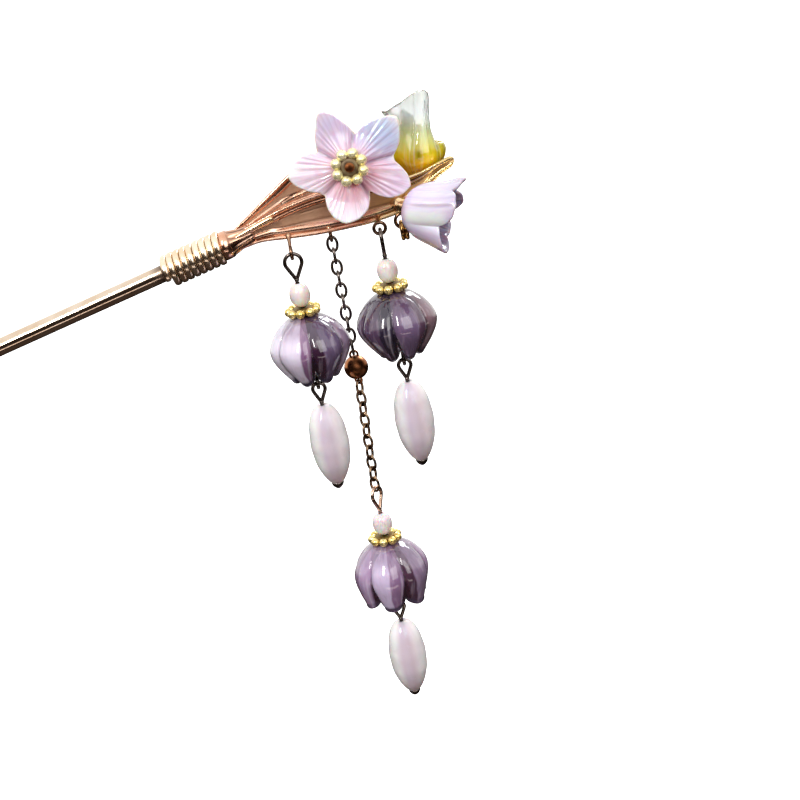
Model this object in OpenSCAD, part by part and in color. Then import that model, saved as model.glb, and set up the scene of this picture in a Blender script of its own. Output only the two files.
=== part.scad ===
// Buyao hairpin: a hair stick whose head carries cast leaves, glass flowers and hanging drops.
// Millimetres. The origin is on the shaft's axis at the grip; +X runs towards the head,
// +Z is up, and -Y is the front. The drops hang straight down.

/* [Stick] */
// Length of the shaft from its point to the wire wrap
shaft_len = 110; // [95:1:130]
// Diameter of the shaft
shaft_d = 2.4; // [2.2:0.1:2.8]
// Length of the tapered point
tip_len = 8; // [5:1:14]
// Diameter of the rounded end of the point
tip_d = 1.2; // [0.8:0.1:1.6]
// Rise of the shaft above the level, in degrees
shaft_rise = 14; // [8:1:20]
// Distance from the point to the grip, where hair holds the stick
grip_at = 55; // [40:1:70]

/* [Wire wrap] */
// Number of turns of wire
wrap_turns = 8; // [6:0.5:10]
// Width of the wire along the shaft
wrap_wire_w = 0.93; // [0.7:0.01:1.1]
// Thickness of the wire across the shaft
wrap_wire_t = 1.05; // [0.7:0.05:1.2]
// Gap between neighbouring turns
wrap_gap = 0.045; // [0.02:0.005:0.1]
// Gap between the wire and the shaft
wrap_fit = 0.12; // [0.05:0.01:0.2]

/* [Leaf spray] */
// Length of the lower leaf
leaf_len = 33; // [30:0.5:36]
// Rise of the lower leaf from its root to its tip
leaf_rise = 6.2; // [5.5:0.1:7]
// Length of the upper leaf
upper_len = 20.6; // [19:0.2:22]
// Rise of the upper leaf from its root to its tip
upper_rise = 12; // [11.4:0.1:12.6]
// Distance that the upper leaf lies behind the lower one
upper_back = 1.3; // [1:0.1:1.6]
// Thickness of the leaf metal between its rims
leaf_web = 0.7; // [0.5:0.05:0.9]
// Diameter of the rolled rims
rim_d = 1.2; // [0.9:0.1:1.4]
// Depth of the trough between the rims
leaf_trough = 1.2; // [0.6:0.1:1.5]
// Diameter of the short blunt stem that lies on the leaf
stem_d = 1.1; // [0.8:0.1:1.3]

/* [Lugs and cups] */
// Wire diameter of the cast lugs
lug_wire = 0.5; // [0.4:0.05:0.6]
// Inner diameter of the cast lugs
lug_hole = 1.1; // [1.05:0.05:1.4]
// Inner diameter of the lug that holds the binding loop
wide_lug_hole = 1.5; // [1.4:0.05:1.8]
// Diameter of the arms that carry the two bell flowers
arm_d = 1.2; // [0.9:0.1:1.4]
// Outer diameter of the cups that hold the flower pins
cup_d = 1.9; // [1.6:0.1:2.2]
// Depth of the cups
cup_depth = 1.4; // [1:0.1:1.8]
// Clearance of a pin in its cup or bore, all round
pin_fit = 0.1; // [0.05:0.01:0.15]
// Gap left between pieces that rest on each other
seat_gap = 0.06; // [0.03:0.01:0.1]
// Gap between wires that hang in each other
hang_gap = 0.1; // [0.08:0.01:0.14]

/* [Petal flower] */
// Longest reach of a petal from the flower's centre
petal_reach = 9.3; // [8.5:0.1:10]
// Reach of the notches between the petals
petal_notch = 4.3; // [3.5:0.1:5]
// Thickness at the flower's centre
petal_hub_t = 1.6; // [1.2:0.1:2]
// Thickness at the petals' edges
petal_edge_t = 0.5; // [0.4:0.05:0.8]
// Lean of the flower's face above the level, in degrees
flower_lean = 10; // [5:1:15]
// Diameter of the flower pin's head
flower_head_d = 1.7; // [1.4:0.1:2]

/* [Bell flowers] */
// Length of the yellow bell from its base to its tallest petal
yellow_len = 13.3; // [12.2:0.1:14]
// Radius of the yellow bell's body
yellow_r = 3.2; // [2.8:0.1:3.4]
// Length of the lavender bell
lavender_len = 9.4; // [8.8:0.1:10]
// Radius of the lavender bell's mouth
lavender_r = 4.3; // [4:0.1:4.6]
// Wall of the bell flowers
flower_wall = 0.9; // [0.7:0.05:1.1]
// Diameter of the pins that hold the flowers
flower_pin_d = 0.8; // [0.6:0.05:0.9]

/* [Drops] */
// Wire diameter of the drops' loops and pins
pin_d = 0.55; // [0.5:0.05:0.6]
// Width of the large teardrop loop
loop_w = 2.9; // [2.7:0.1:3.1]
// Height of the large teardrop loop
loop_h = 4; // [3.8:0.1:4.3]
// Diameter of the pink bead
bead_d = 3.5; // [3.2:0.1:3.8]
// Outer diameter of the daisy spacers
spacer_d = 5.2; // [4.9:0.1:5.4]
// Number of balls round a daisy spacer
spacer_balls = 9; // [8:1:10]
// Number of balls round the flower's spacer
flower_balls = 8; // [7:1:10]
// Diameter of the balls of a daisy spacer
spacer_ball_d = 1.25; // [1.1:0.05:1.35]
// Thickness of a daisy spacer's web
spacer_web = 0.9; // [0.7:0.05:1]
// Height of the glass bell
bell_h = 9.85; // [9:0.05:10.5]
// Radius of the glass bell over its petals
bell_r = 5.8; // [5.4:0.05:5.85]
// Wall of the glass bell
bell_wall = 1.1; // [0.9:0.05:1.3]
// Radius of the left bell's mouth, as a share of its widest radius
left_mouth = 0.52; // [0.48:0.01:0.95]
// Radius of the right bell's mouth, as a share of its widest radius
right_mouth = 0.47; // [0.45:0.01:0.95]
// Radius of the lower bell's mouth, as a share of its widest radius
lower_mouth = 0.8; // [0.48:0.01:0.95]
// Depth of the valleys between the petals, as a share of the radius
bell_valley = 0.2; // [0.1:0.01:0.25]
// Height of the notches between the petals at the rim, as a share of the height
bell_notch = 0.16; // [0.05:0.01:0.2]
// Radius of the lower eye, to the middle of its wire
eye_r = 0.8; // [0.7:0.05:0.9]
// Width of the pearl's teardrop loop
small_loop_w = 2.3; // [2.1:0.1:2.5]
// Height of the pearl's teardrop loop
small_loop_h = 3.2; // [3:0.1:3.5]
// Length of the rice pearl
pearl_len = 12; // [11:0.1:13]
// Diameter of the rice pearl
pearl_d = 5.8; // [5.4:0.1:6]
// Diameter of the ball head under the pearl
head_ball_d = 1.1; // [0.9:0.1:1.3]

/* [Chain] */
// Length of a chain link, over its wire
link_len = 2.5; // [2.4:0.05:2.6]
// Width of a chain link, over its wire
link_w = 1.7; // [1.65:0.05:1.8]
// Wire diameter of a chain link
link_wire = 0.35; // [0.3:0.01:0.37]
// Links above the metal ball
upper_links = 10; // [9:1:11]
// Links below the metal ball
lower_links = 10; // [8:1:12]
// Sideways step of each link below the ball, towards the grip
link_drift = 0.06; // [0:0.01:0.1]
// Diameter of the metal ball
ball_d = 3.5; // [3:0.1:3.6]

/* [Layout] */
// Left drop's pivot, from the wrap's lower end: along, front-back, up
left_hang = [17.8, -1.7, -0.2];
// Right drop's pivot
right_hang = [30.3, -1.7, 0.95];
// Middle of the first chain link's top wire
chain_hang = [23.45, 2.35, 0.2];
// Middle of the petal flower's back
petal_at = [27.8, -3.2, 10.5];
// Middle of the yellow bell's base
yellow_at = [36.8, 4, 5];
// Middle of the lavender bell's base
lavender_at = [34.5, -4.9, 4.15];
// Direction in which the yellow bell opens
yellow_aim = [0.16, 0.05, 0.985];
// Direction in which the lavender bell opens
lavender_aim = [0.7, -0.67, -0.23];
// Middle of the wide lug
wide_lug_at = [33.6, 0, 1.2];

/* [Hidden] */

$fn = 40;
GOLD = [0.93, 0.78, 0.42];
CHAMPAGNE = [0.88, 0.76, 0.60];
COPPER = [0.80, 0.56, 0.42];
GUNMETAL = [0.38, 0.34, 0.31];
PLUM = [0.47, 0.37, 0.50];
LILAC = [0.70, 0.58, 0.74];
PINK = [0.95, 0.80, 0.84];
PEARL = [0.95, 0.92, 0.94];

// Lower leaf. Columns: share of its length, lower edge and upper edge as shares of its rise,
// depth of the trough as a share of leaf_trough
LOWER_LEAF = [
    [0.00, -0.15, 0.15, 0.0], [0.06, -0.15, 0.27, 0.2], [0.15, -0.08, 0.42, 0.6],
    [0.26, -0.11, 0.60, 0.9], [0.39, -0.14, 0.75, 1.0], [0.52, -0.13, 0.81, 1.0],
    [0.64, -0.09, 0.80, 1.0], [0.75, 0.03, 0.78, 0.9], [0.85, 0.33, 0.84, 0.7],
    [0.93, 0.66, 0.98, 0.5], [1.00, 0.86, 1.08, 0.2]];
// Upper leaf, with the same columns over its own length and rise
UPPER_LEAF = [
    [0.03, 0.00, 0.08, 0.0], [0.08, 0.05, 0.16, 0.1], [0.20, 0.14, 0.30, 0.2],
    [0.35, 0.22, 0.48, 0.4], [0.50, 0.29, 0.65, 0.5], [0.65, 0.34, 0.775, 0.5],
    [0.80, 0.41, 0.88, 0.4], [0.92, 0.55, 0.96, 0.3], [1.00, 0.86, 1.00, 0.1]];
// Across a leaf, lower edge to upper edge. Columns: share of the width, share of the rim's thickness
LEAF_SECTION = [[0, 0.45], [0.07, 1], [0.17, 0.4], [0.35, 0], [0.6, 0], [0.83, 0.4], [0.93, 1], [1, 0.45]];
// Petals of the petal flower. Columns: direction in degrees from +X, share of petal_reach,
// forward bend of the tip as a share of the thickness of the hub, roundness of the end
PETALS = [[36, 1.00, 0.5, 1.2], [109, 0.88, 0.7, 1], [178, 0.86, 0.6, 1.2], [260, 0.84, 0.9, 2],
    [327, 0.98, -0.2, 1]];
// Glass bell outline before its mouth closes. Columns: share of the height, share of the radius
BELL_LINE = [[0.015, 0.24], [0.05, 0.41], [0.12, 0.60], [0.24, 0.80], [0.40, 0.95],
    [0.56, 1.00], [0.72, 1.00], [0.87, 0.99], [0.96, 0.97], [1.00, 1.00]];
// Yellow bell outline. Columns: share of the length, share of yellow_r
YELLOW_LINE = [[0.02, 0.45], [0.10, 0.78], [0.22, 0.96], [0.35, 1.00], [0.50, 0.90],
    [0.65, 0.86], [0.80, 0.98], [0.92, 1.20], [1.00, 1.40]];
// Petals of the yellow bell. Columns: direction from the front in degrees, share of the length,
// outward flare of the tip as a share of the radius, share of the length at the notch after it
YELLOW_PETALS = [[15, 1.00, 0.0, 0.42], [87, 0.46, 0.14, 0.40], [159, 0.80, 0.1, 0.6],
    [231, 0.86, 0.1, 0.62], [303, 0.87, 0.3, 0.84]];
// Lavender bell outline. Columns: share of the length, share of lavender_r
LAVENDER_LINE = [[0.03, 0.34], [0.12, 0.50], [0.25, 0.64], [0.40, 0.76], [0.55, 0.86],
    [0.70, 0.95], [0.85, 1.06], [1.00, 1.20]];
// Petals of the lavender bell, with the yellow bell's columns
LAVENDER_PETALS = [[36, 0.93, 0.1, 0.52], [108, 0.78, 0.05, 0.54], [180, 0.70, 0.05, 0.52],
    [252, 0.96, 0.1, 0.5], [324, 0.90, 0.1, 0.32]];

wrap_pitch = wrap_wire_w + wrap_gap;
wrap_len = wrap_turns * wrap_pitch + wrap_wire_w;
wrap_mid_r = shaft_d / 2 + wrap_fit + wrap_wire_t / 2;
tenon_play = 0.18;
tenon_d = shaft_d - 2 * tenon_play;
tenon_len = wrap_len * 0.55;
shank_bare = 1.5;
shank_end = wrap_len + shank_bare;
root_gap = 0.5;
stem_root = [0.2, -0.45, 0.3];
stem_tip = [0.21, -0.7, 0.43];
root = [(wrap_len + root_gap) * cos(shaft_rise), 0, (wrap_len + root_gap) * sin(shaft_rise)];
lug_r = (lug_hole + lug_wire) / 2;
wide_lug_r = (wide_lug_hole + lug_wire) / 2;
cup_bore = flower_pin_d + 2 * pin_fit;
cup_floor = 0.5;
cup_len = cup_depth + cup_floor;
arm_sink = 0.3;
ball_ring_r = (spacer_d - spacer_ball_d) / 2;
bore_r = pin_d / 2 + pin_fit;

loop_wire = 0.6;
loop_turn_r = 1.15;

loop_r = (loop_w - pin_d) / 2;
loop_drop = loop_h - pin_d / 2;
knot_d = pin_d * 1.25;
bead_z = -loop_drop - knot_d / 2 - seat_gap - bead_d / 2;
spacer_z = bead_z - bead_d / 2 - seat_gap - spacer_web / 2;
bell_z = spacer_z - spacer_web / 2 - seat_gap;
eye_below = 0.35;
eye_z = bell_z - bell_h - eye_below;
small_loop_r = (small_loop_w - pin_d) / 2;
small_loop_drop = small_loop_h - pin_d / 2;
pearl_hang_z = eye_z - eye_r + pin_d + hang_gap;
pearl_top_z = pearl_hang_z - small_loop_drop - knot_d / 2 - seat_gap;
head_ball_sink = 0.12;
head_ball_z = pearl_top_z - pearl_len - seat_gap - head_ball_d / 2 + head_ball_sink;

link_pitch = link_len - 2 * link_wire - hang_gap;
link_step = link_wire + hang_gap;
ball_eye_r = 0.55;
ball_drop = link_step / 2 + link_wire / 2 + hang_gap + ball_d / 2;
chain_top = chain_hang[2] - link_step / 2;
ball_z = chain_top - upper_links * link_pitch - ball_drop;
lower_top = ball_z - ball_drop;
lower_end = lower_top - lower_links * link_pitch;
lower_turn = -35;
lower_loop_turn = lower_turn + (lower_links % 2 == 0 ? 90 : 0);
lower_hang = [chain_hang[0] - link_drift * lower_links, chain_hang[1],
    lower_end - link_step / 2 + (link_wire + pin_d) / 2 + hang_gap];

// Places of the parts

module along_shaft(at) {
    rotate([0, 90 - shaft_rise, 0]) translate([0, 0, at - grip_at]) children();
}

module at_head() {
    rotate([0, 90 - shaft_rise, 0]) translate([0, 0, shaft_len - grip_at])
        rotate([0, shaft_rise - 90, 0]) children();
}

module aimed(at, aim) {
    span = norm(aim);
    translate(at) rotate([0, acos(aim[2] / span), atan2(aim[1], aim[0])]) children();
}

// Plain shapes

module rod(from, to, d) {
    aimed(from, to - from) cylinder(h = norm(to - from), d = d);
}

// Ring of wire that stands in the XZ plane
module wire_ring(r, wire) {
    rotate([90, 0, 0]) rotate_extrude() translate([r, 0]) circle(d = wire, $fn = 24);
}

// Teardrop of wire in the XZ plane, with the middle of its top wire at the origin
module teardrop(w, h, wire) {
    r = (w - wire) / 2;
    arm = h - wire / 2 - r;
    lean = asin(r / arm);
    translate([0, 0, -r]) {
        rotate([90, 0, 0]) rotate([0, 0, -lean]) rotate_extrude(angle = 180 + 2 * lean)
            translate([r, 0]) circle(d = wire, $fn = 24);
        for (side = [-1, 1]) translate([0, 0, -arm]) rotate([0, side * lean, 0]) {
            cylinder(h = sqrt(arm * arm - r * r), d = wire, $fn = 24);
            translate([0, 0, sqrt(arm * arm - r * r)]) sphere(d = wire * 1.04, $fn = 24);
        }
        translate([0, 0, -arm]) sphere(d = wire * 1.25, $fn = 24);
    }
}

// Daisy spacer: a drilled web with balls round it, its axis along Z
module daisy_spacer(balls) {
    difference() {
        union() {
            cylinder(h = spacer_web, r = ball_ring_r, center = true);
            for (i = [0 : balls - 1]) rotate([0, 0, 360 * (i + 0.5) / balls])
                translate([ball_ring_r, 0, 0]) sphere(d = spacer_ball_d, $fn = 24);
        }
        cylinder(h = 2 * spacer_ball_d, d = cup_bore, center = true);
    }
}

// Oval chain link in the XZ plane
module chain_link() {
    r = (link_w - link_wire) / 2;
    straight = link_len - link_w;
    for (end = [0, 1]) mirror([0, 0, end]) translate([0, 0, straight / 2]) rotate([90, 0, 0])
        rotate_extrude(angle = 180) translate([r, 0]) circle(d = link_wire, $fn = 20);
    for (side = [-1, 1]) translate([side * r, 0, 0])
        cylinder(h = straight, d = link_wire, center = true, $fn = 20);
}

// Hanging run of links that starts at the joint height top, turns link by link and may drift aside
module link_run(count, top, turn, drift = 0) {
    for (i = [0 : count - 1]) translate([-drift * (i + 1), 0, top - (i + 0.5) * link_pitch])
        rotate([0, 0, turn + 90 * i]) chain_link();
}

// Faces between rings of points. The rings have n points each and there are k of them

function strip(n, k, last) = [for (i = [0 : last - 1]) for (j = [0 : n - 1])
    let (a = i * n + j, b = i * n + (j + 1) % n,
        c = ((i + 1) % k) * n + (j + 1) % n, d = ((i + 1) % k) * n + j)
    each [[a, b, c], [a, c, d]]];
function flipped(faces) = [for (f = faces) [f[0], f[2], f[1]]];
function caps(n, k) = [[for (j = [0 : n - 1]) n - 1 - j], [for (j = [0 : n - 1]) (k - 1) * n + j]];

module closed_tube(rings) {
    n = len(rings[0]);
    k = len(rings);
    polyhedron(points = [for (ring = rings) each ring], faces = concat(strip(n, k, k - 1), caps(n, k)));
}

module hollow_body(rings, flip = false) {
    n = len(rings[0]);
    k = len(rings);
    faces = strip(n, k, k);
    polyhedron(points = [for (ring = rings) each ring], faces = flip ? flipped(faces) : faces);
}

// Stick and wrap

module hair_stick() {
    color(CHAMPAGNE) along_shaft(0) {
        translate([0, 0, tip_len]) cylinder(h = shaft_len - tip_len, d = shaft_d, $fn = 48);
        translate([0, 0, shaft_len]) cylinder(h = tenon_len, d = tenon_d, $fn = 48);
        translate([0, 0, tip_d / 2]) cylinder(h = tip_len - tip_d / 2, d1 = tip_d, d2 = shaft_d, $fn = 48);
        translate([0, 0, tip_d / 2]) sphere(d = tip_d, $fn = 48);
    }
}

module wire_wrap() {
    steps = 18;
    count = wrap_turns * steps;
    rings = [for (i = [0 : count]) let (a = -i * 360 / steps - 60)
        [for (k = [0 : 7]) let (b = k * 45 + 22.5, r = wrap_mid_r + cos(b) * wrap_wire_t / 2)
            [r * cos(a), r * sin(a), i * wrap_pitch / steps + sin(b) * wrap_wire_w / 2]]];
    color(CHAMPAGNE) along_shaft(shaft_len + wrap_wire_w / 2) closed_tube(rings);
}

// Leaf spray

// One cross-section of a leaf, front face then back face
function leaf_ring(row, span, rise, back) =
    let (x = root[0] + row[0] * span, lower = root[2] + row[1] * rise, upper = root[2] + row[2] * rise,
        y = back * min(1, row[0] * 2), bead = min(rim_d, (upper - lower) * 0.7),
        sides = [for (q = LEAF_SECTION)
            [lower + (upper - lower) * q[0],
             y + leaf_trough * row[3] * 4 * q[0] * (1 - q[0]),
             (leaf_web + (bead - leaf_web) * q[1]) / 2]])
    concat([for (s = sides) [x, s[1] - s[2], s[0]]],
        [for (i = [len(sides) - 1 : -1 : 0]) [x, sides[i][1] + sides[i][2], sides[i][0]]]);

module leaf(table, span, rise, back) {
    closed_tube([for (row = table) leaf_ring(row, span, rise, back)]);
}

function back_along(at, aim, dist) = at - aim / norm(aim) * dist;

// Cup with a blind bore, on an arm that stands on the leaf's metal at foot
module carried_cup(at, aim, foot) {
    difference() {
        union() {
            aimed(back_along(at, aim, cup_len), aim) cylinder(h = cup_len, d = cup_d);
            rod(back_along(at, aim, cup_len - arm_sink), foot, arm_d);
        }
        aimed(back_along(at, aim, cup_depth), aim) cylinder(h = 2 * cup_depth, d = cup_bore);
    }
}

petal_aim = [0, -cos(flower_lean), sin(flower_lean)];
petal_stand = 1.2;
// The flower's arm stands on the upper leaf at these shares of its length and width
petal_foot = [0.88, 0.35];
// The two bells' arms stand on the lower leaf this far along and above their bells' bases
yellow_foot = [-2.2, -1];
lavender_foot = [-1.6, -0.5];
pin_stand = seat_gap + 0.1;
petal_cup_at = back_along(petal_at, petal_aim, petal_stand);
yellow_cup_at = back_along(yellow_at, yellow_aim, pin_stand);
lavender_cup_at = back_along(lavender_at, lavender_aim, pin_stand);

left_lug_at = left_hang - [0, 0, (pin_d + lug_wire) / 2 + hang_gap - lug_r];
right_lug_at = right_hang - [0, 0, (pin_d + lug_wire) / 2 + hang_gap - lug_r];
chain_lug_at = chain_hang - [0, 0, (link_wire + lug_wire) / 2 + hang_gap - lug_r];

// One column of a leaf's table at a share s of its length
function leaf_at(table, s, column) = lookup(s, [for (row = table) [row[0], row[column]]]);
function lower_share(x) = (x - root[0]) / leaf_len;
function lower_edge(x) = root[2] + leaf_rise * leaf_at(LOWER_LEAF, lower_share(x), 1);
// Middle of a leaf's metal at a share s of its length and a share q of its width
function leaf_mid(table, span, rise, back, s, q) =
    let (lower = leaf_at(table, s, 1), upper = leaf_at(table, s, 2))
    [root[0] + s * span, back + leaf_trough * leaf_at(table, s, 3) * 4 * q * (1 - q),
        root[2] + rise * (lower + (upper - lower) * q)];
// Middle of the lower leaf's metal at a distance along the head and a height
function on_leaf(x, z) =
    let (s = lower_share(x), upper = root[2] + leaf_rise * leaf_at(LOWER_LEAF, s, 2))
    leaf_mid(LOWER_LEAF, leaf_len, leaf_rise, 0, s, (z - lower_edge(x)) / (upper - lower_edge(x)));

module lug_neck(at, side) {
    rim = [at[0], side * rim_d * 0.2, lower_edge(at[0]) + rim_d * 0.45];
    rod([at[0], at[1], at[2] + lug_r], rim, lug_wire * 1.2);
}

module leaf_spray() {
    color(COPPER) at_head() union() {
        leaf(LOWER_LEAF, leaf_len, leaf_rise, 0);
        leaf(UPPER_LEAF, upper_len, upper_rise, upper_back);
        rotate([0, 90 - shaft_rise, 0]) translate([0, 0, tenon_len + seat_gap])
            cylinder(h = shank_end - tenon_len - seat_gap, d = tenon_d);
        rod(root + stem_root, root + [stem_tip[0] * leaf_len, stem_tip[1], stem_tip[2] * leaf_rise], stem_d);
        translate(left_lug_at) rotate([0, 0, 90]) wire_ring(lug_r, lug_wire);
        lug_neck(left_lug_at, -1);
        translate(right_lug_at) wire_ring(lug_r, lug_wire);
        lug_neck(right_lug_at, -1);
        translate(chain_lug_at) rotate([0, 0, 90]) wire_ring(lug_r, lug_wire);
        lug_neck(chain_lug_at, 1);
        translate(wide_lug_at) wire_ring(wide_lug_r, lug_wire);
        rod(wide_lug_at + [0, 0, wide_lug_r],
            [wide_lug_at[0], 0, lower_edge(wide_lug_at[0]) + rim_d * 0.6], lug_wire * 1.2);
        carried_cup(petal_cup_at, petal_aim,
            leaf_mid(UPPER_LEAF, upper_len, upper_rise, upper_back, petal_foot[0], petal_foot[1]));
        carried_cup(yellow_cup_at, yellow_aim,
            on_leaf(yellow_at[0] + yellow_foot[0], yellow_at[2] + yellow_foot[1]));
        carried_cup(lavender_cup_at, lavender_aim,
            on_leaf(lavender_at[0] + lavender_foot[0], lavender_at[2] + lavender_foot[1]));
    }
}

// Flowers

function bump(x) = x < 0 ? 0 : x > 1 ? 1 : x * x * (3 - 2 * x);
function apart(a, b) = abs(((a - b) % 360 + 540) % 360 - 180);
// Place in a table of the petal nearest to a direction
function nearest(dir, table) =
    let (least = min([for (q = table) apart(dir, q[0])]))
    [for (i = [0 : len(table) - 1]) if (apart(dir, table[i][0]) == least) i][0];

// Petal flower, facing +Z with its back at z = 0
function petal_face(dir, r, front) =
    let (row = PETALS[nearest(dir, PETALS)], off = min(1, apart(dir, row[0]) / 36),
        out = r / (petal_reach * row[1]),
        dish = petal_hub_t * (0.35 * bump(out * 1.6) + row[2] * out * out * (1 - 0.5 * off)),
        crown = 0.7 * petal_edge_t * sin(min(180, out * 180)) * (1 - off * off),
        thick = petal_edge_t + (petal_hub_t - petal_edge_t) * (1 - bump((r / petal_notch - 0.35) / 0.8)))
    [r * cos(dir), r * sin(dir), front ? dish + crown + thick : dish + crown];

function petal_point(dir, u, front) =
    let (row = PETALS[nearest(dir, PETALS)], off = min(1, apart(dir, row[0]) / 36),
        tip = petal_reach * row[1],
        reach = petal_notch + (tip - petal_notch) * pow(1 - pow(off, row[3]), 0.8))
    petal_face(dir, max(u * reach, cup_bore / 2), front);

module petal_flower() {
    count = 60;
    front = [0, 0.22, 0.36, 0.52, 0.68, 0.84, 0.95, 1];
    back = [0.97, 0.75, 0.5, 0.28, 0];
    rings = concat([for (u = front) [for (j = [0 : count - 1]) petal_point(360 * j / count, u, true)]],
        [for (u = back) [for (j = [0 : count - 1]) petal_point(360 * j / count, u, false)]]);
    color(PINK) at_head() translate(petal_at) rotate([90 - flower_lean, 0, 0]) hollow_body(rings);
}

// The spacer's balls rest on the highest place under their ring
flower_top = seat_gap + max([for (i = [0 : 59]) petal_face(6 * i, ball_ring_r, true)[2]]);

module flower_spacer() {
    color(GOLD) at_head() translate(petal_at) rotate([90 - flower_lean, 0, 0])
        translate([0, 0, flower_top + spacer_ball_d / 2]) daisy_spacer(flower_balls);
}

module flower_pin() {
    tail = petal_stand + cup_depth - pin_fit;
    head_z = flower_top + spacer_ball_d / 2 + spacer_web / 2 + seat_gap + flower_head_d * 0.25;
    color([0.55, 0.30, 0.18]) at_head() translate(petal_at) rotate([90 - flower_lean, 0, 0]) {
        translate([0, 0, -tail]) cylinder(h = tail + head_z, d = flower_pin_d);
        translate([0, 0, head_z]) intersection() {
            sphere(d = flower_head_d);
            translate([0, 0, flower_head_d * 0.25]) cube([2, 2, 1] * flower_head_d, center = true);
        }
    }
}

// Bell flower that opens along +Z from its base at z = 0
function bell_flower_point(dir, u, outer, line, petals, span, radius) =
    let (i = nearest(dir, petals), row = petals[i], off = min(1, apart(dir, row[0]) / 36),
        after = (dir - row[0] + 540) % 360 >= 180,
        notch = petals[after ? i : (i + len(petals) - 1) % len(petals)][3],
        reach = notch + (row[1] - notch) * pow(cos(90 * off), 0.8), s = u * reach,
        flare = row[2] * radius * pow(u, 3) * (1 - off * off),
        fold = 1 - 0.16 * bump((s - 0.2) / 0.4) * pow(off, 3),
        base = radius * lookup(s, line) * fold + flare,
        r = outer ? base : max(base - flower_wall * (0.6 + 0.4 * (1 - u)), flower_pin_d / 2 + pin_fit))
    [r * sin(dir), -r * cos(dir), span * s];

module bell_flower(line, petals, span, radius) {
    count = 40;
    hole = flower_pin_d / 2 + pin_fit;
    outside = [0.03, 0.12, 0.26, 0.42, 0.58, 0.74, 0.88, 1];
    inside = [0.98, 0.8, 0.6, 0.4, 0.25];
    rings = concat(
        [[for (j = [0 : count - 1]) let (dir = 360 * j / count) [hole * sin(dir), -hole * cos(dir), 0]]],
        [for (u = outside) [for (j = [0 : count - 1])
            bell_flower_point(360 * j / count, u, true, line, petals, span, radius)]],
        [for (u = inside) [for (j = [0 : count - 1])
            bell_flower_point(360 * j / count, u, false, line, petals, span, radius)]],
        [[for (j = [0 : count - 1]) let (dir = 360 * j / count)
            [hole * sin(dir), -hole * cos(dir), flower_wall]]]);
    hollow_body(rings, true);
}

// Pin with a ball head inside the bell, along +Z from the cup
module bell_flower_pin() {
    tail = pin_stand + cup_depth - pin_fit;
    head_z = flower_wall + 0.9;
    translate([0, 0, -tail]) cylinder(h = tail + head_z, d = flower_pin_d);
    translate([0, 0, head_z]) sphere(d = flower_pin_d * 1.7);
}

module yellow_bell() {
    color([0.86, 0.84, 0.35]) at_head() aimed(yellow_at, yellow_aim)
        rotate([0, 0, -atan2(yellow_aim[1], yellow_aim[0])])
            bell_flower(YELLOW_LINE, YELLOW_PETALS, yellow_len, yellow_r);
}

module yellow_bell_pin() {
    color(GOLD) at_head() aimed(yellow_at, yellow_aim) bell_flower_pin();
}

module lavender_bell() {
    color([0.84, 0.78, 0.90]) at_head() aimed(lavender_at, lavender_aim)
        bell_flower(LAVENDER_LINE, LAVENDER_PETALS, lavender_len, lavender_r);
}

module lavender_pin() {
    color(GOLD) at_head() aimed(lavender_at, lavender_aim) bell_flower_pin();
}

// Two turns of wire side by side, which hang in the wide lug
module binding_loop() {
    side_step = 0.48 * loop_wire;
    room = wide_lug_hole / 2 - loop_wire / 2 - hang_gap;
    mid_z = wide_lug_at[2] - sqrt(room * room - side_step * side_step) - loop_turn_r;
    color(GOLD) at_head() for (side = [-1, 1])
        translate([wide_lug_at[0] + side * side_step, 0, mid_z])
            rotate([0, 0, 90]) wire_ring(loop_turn_r, loop_wire);
}

// Chain

module chain_upper() {
    color(GUNMETAL) at_head() translate([chain_hang[0], chain_hang[1], 0])
        link_run(upper_links, chain_top, 0);
}

module chain_ball() {
    turn = upper_links % 2 == 0 ? 0 : 90;
    color([0.55, 0.33, 0.16]) at_head() translate([chain_hang[0], chain_hang[1], ball_z]) {
        sphere(d = ball_d, $fn = 48);
        rotate([0, 0, turn]) translate([0, 0, ball_drop + link_step / 2 - ball_eye_r])
            wire_ring(ball_eye_r, link_wire);
        rotate([0, 0, lower_turn]) translate([0, 0, ball_eye_r - ball_drop - link_step / 2])
            wire_ring(ball_eye_r, link_wire);
    }
}

module chain_lower() {
    color(GUNMETAL) at_head() translate([chain_hang[0], chain_hang[1], 0])
        link_run(lower_links, lower_top, lower_turn - 90, link_drift);
}

// Drops. Each module is drawn from the middle of the loop's top wire

module hung(at) {
    at_head() translate(at) children();
}

module eye_pin(turn) {
    color(GUNMETAL) {
        rotate([0, 0, turn]) teardrop(loop_w, loop_h, pin_d);
        translate([0, 0, eye_z + eye_r]) cylinder(h = -loop_drop - eye_z - eye_r, d = pin_d, $fn = 24);
        translate([0, 0, eye_z]) rotate([0, 0, 90]) wire_ring(eye_r, pin_d);
    }
}

module bead() {
    color(PINK) translate([0, 0, bead_z]) difference() {
        sphere(d = bead_d, $fn = 48);
        cylinder(h = bead_d + 1, r = bore_r, center = true);
    }
}

module spacer() {
    color(GOLD) translate([0, 0, spacer_z]) daisy_spacer(spacer_balls);
}

// Glass bell with six petals, one of them turned to the direction given
function bell_point(dir, s, outer, mouth) =
    let (lobe = pow(abs(cos(3 * dir)), 0.6), low = 1 - lobe,
        valley = bell_valley * bump((s - 0.06) / 0.6) * low,
        tip = 0.05 * bump((s - 0.85) / 0.15) * lobe,
        wide = bell_r * lookup(s, BELL_LINE) * (1 - (1 - mouth) * pow(max(0, (s - 0.45) / 0.55), 1.6)),
        r = wide * (1 - valley + tip),
        inner = max((wide - bell_wall * (1.25 - 0.45 * s)) * (1 - 0.9 * valley), bore_r))
    [(outer ? r : inner), dir, -bell_h * s * (1 - bell_notch * low * s * s)];

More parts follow.
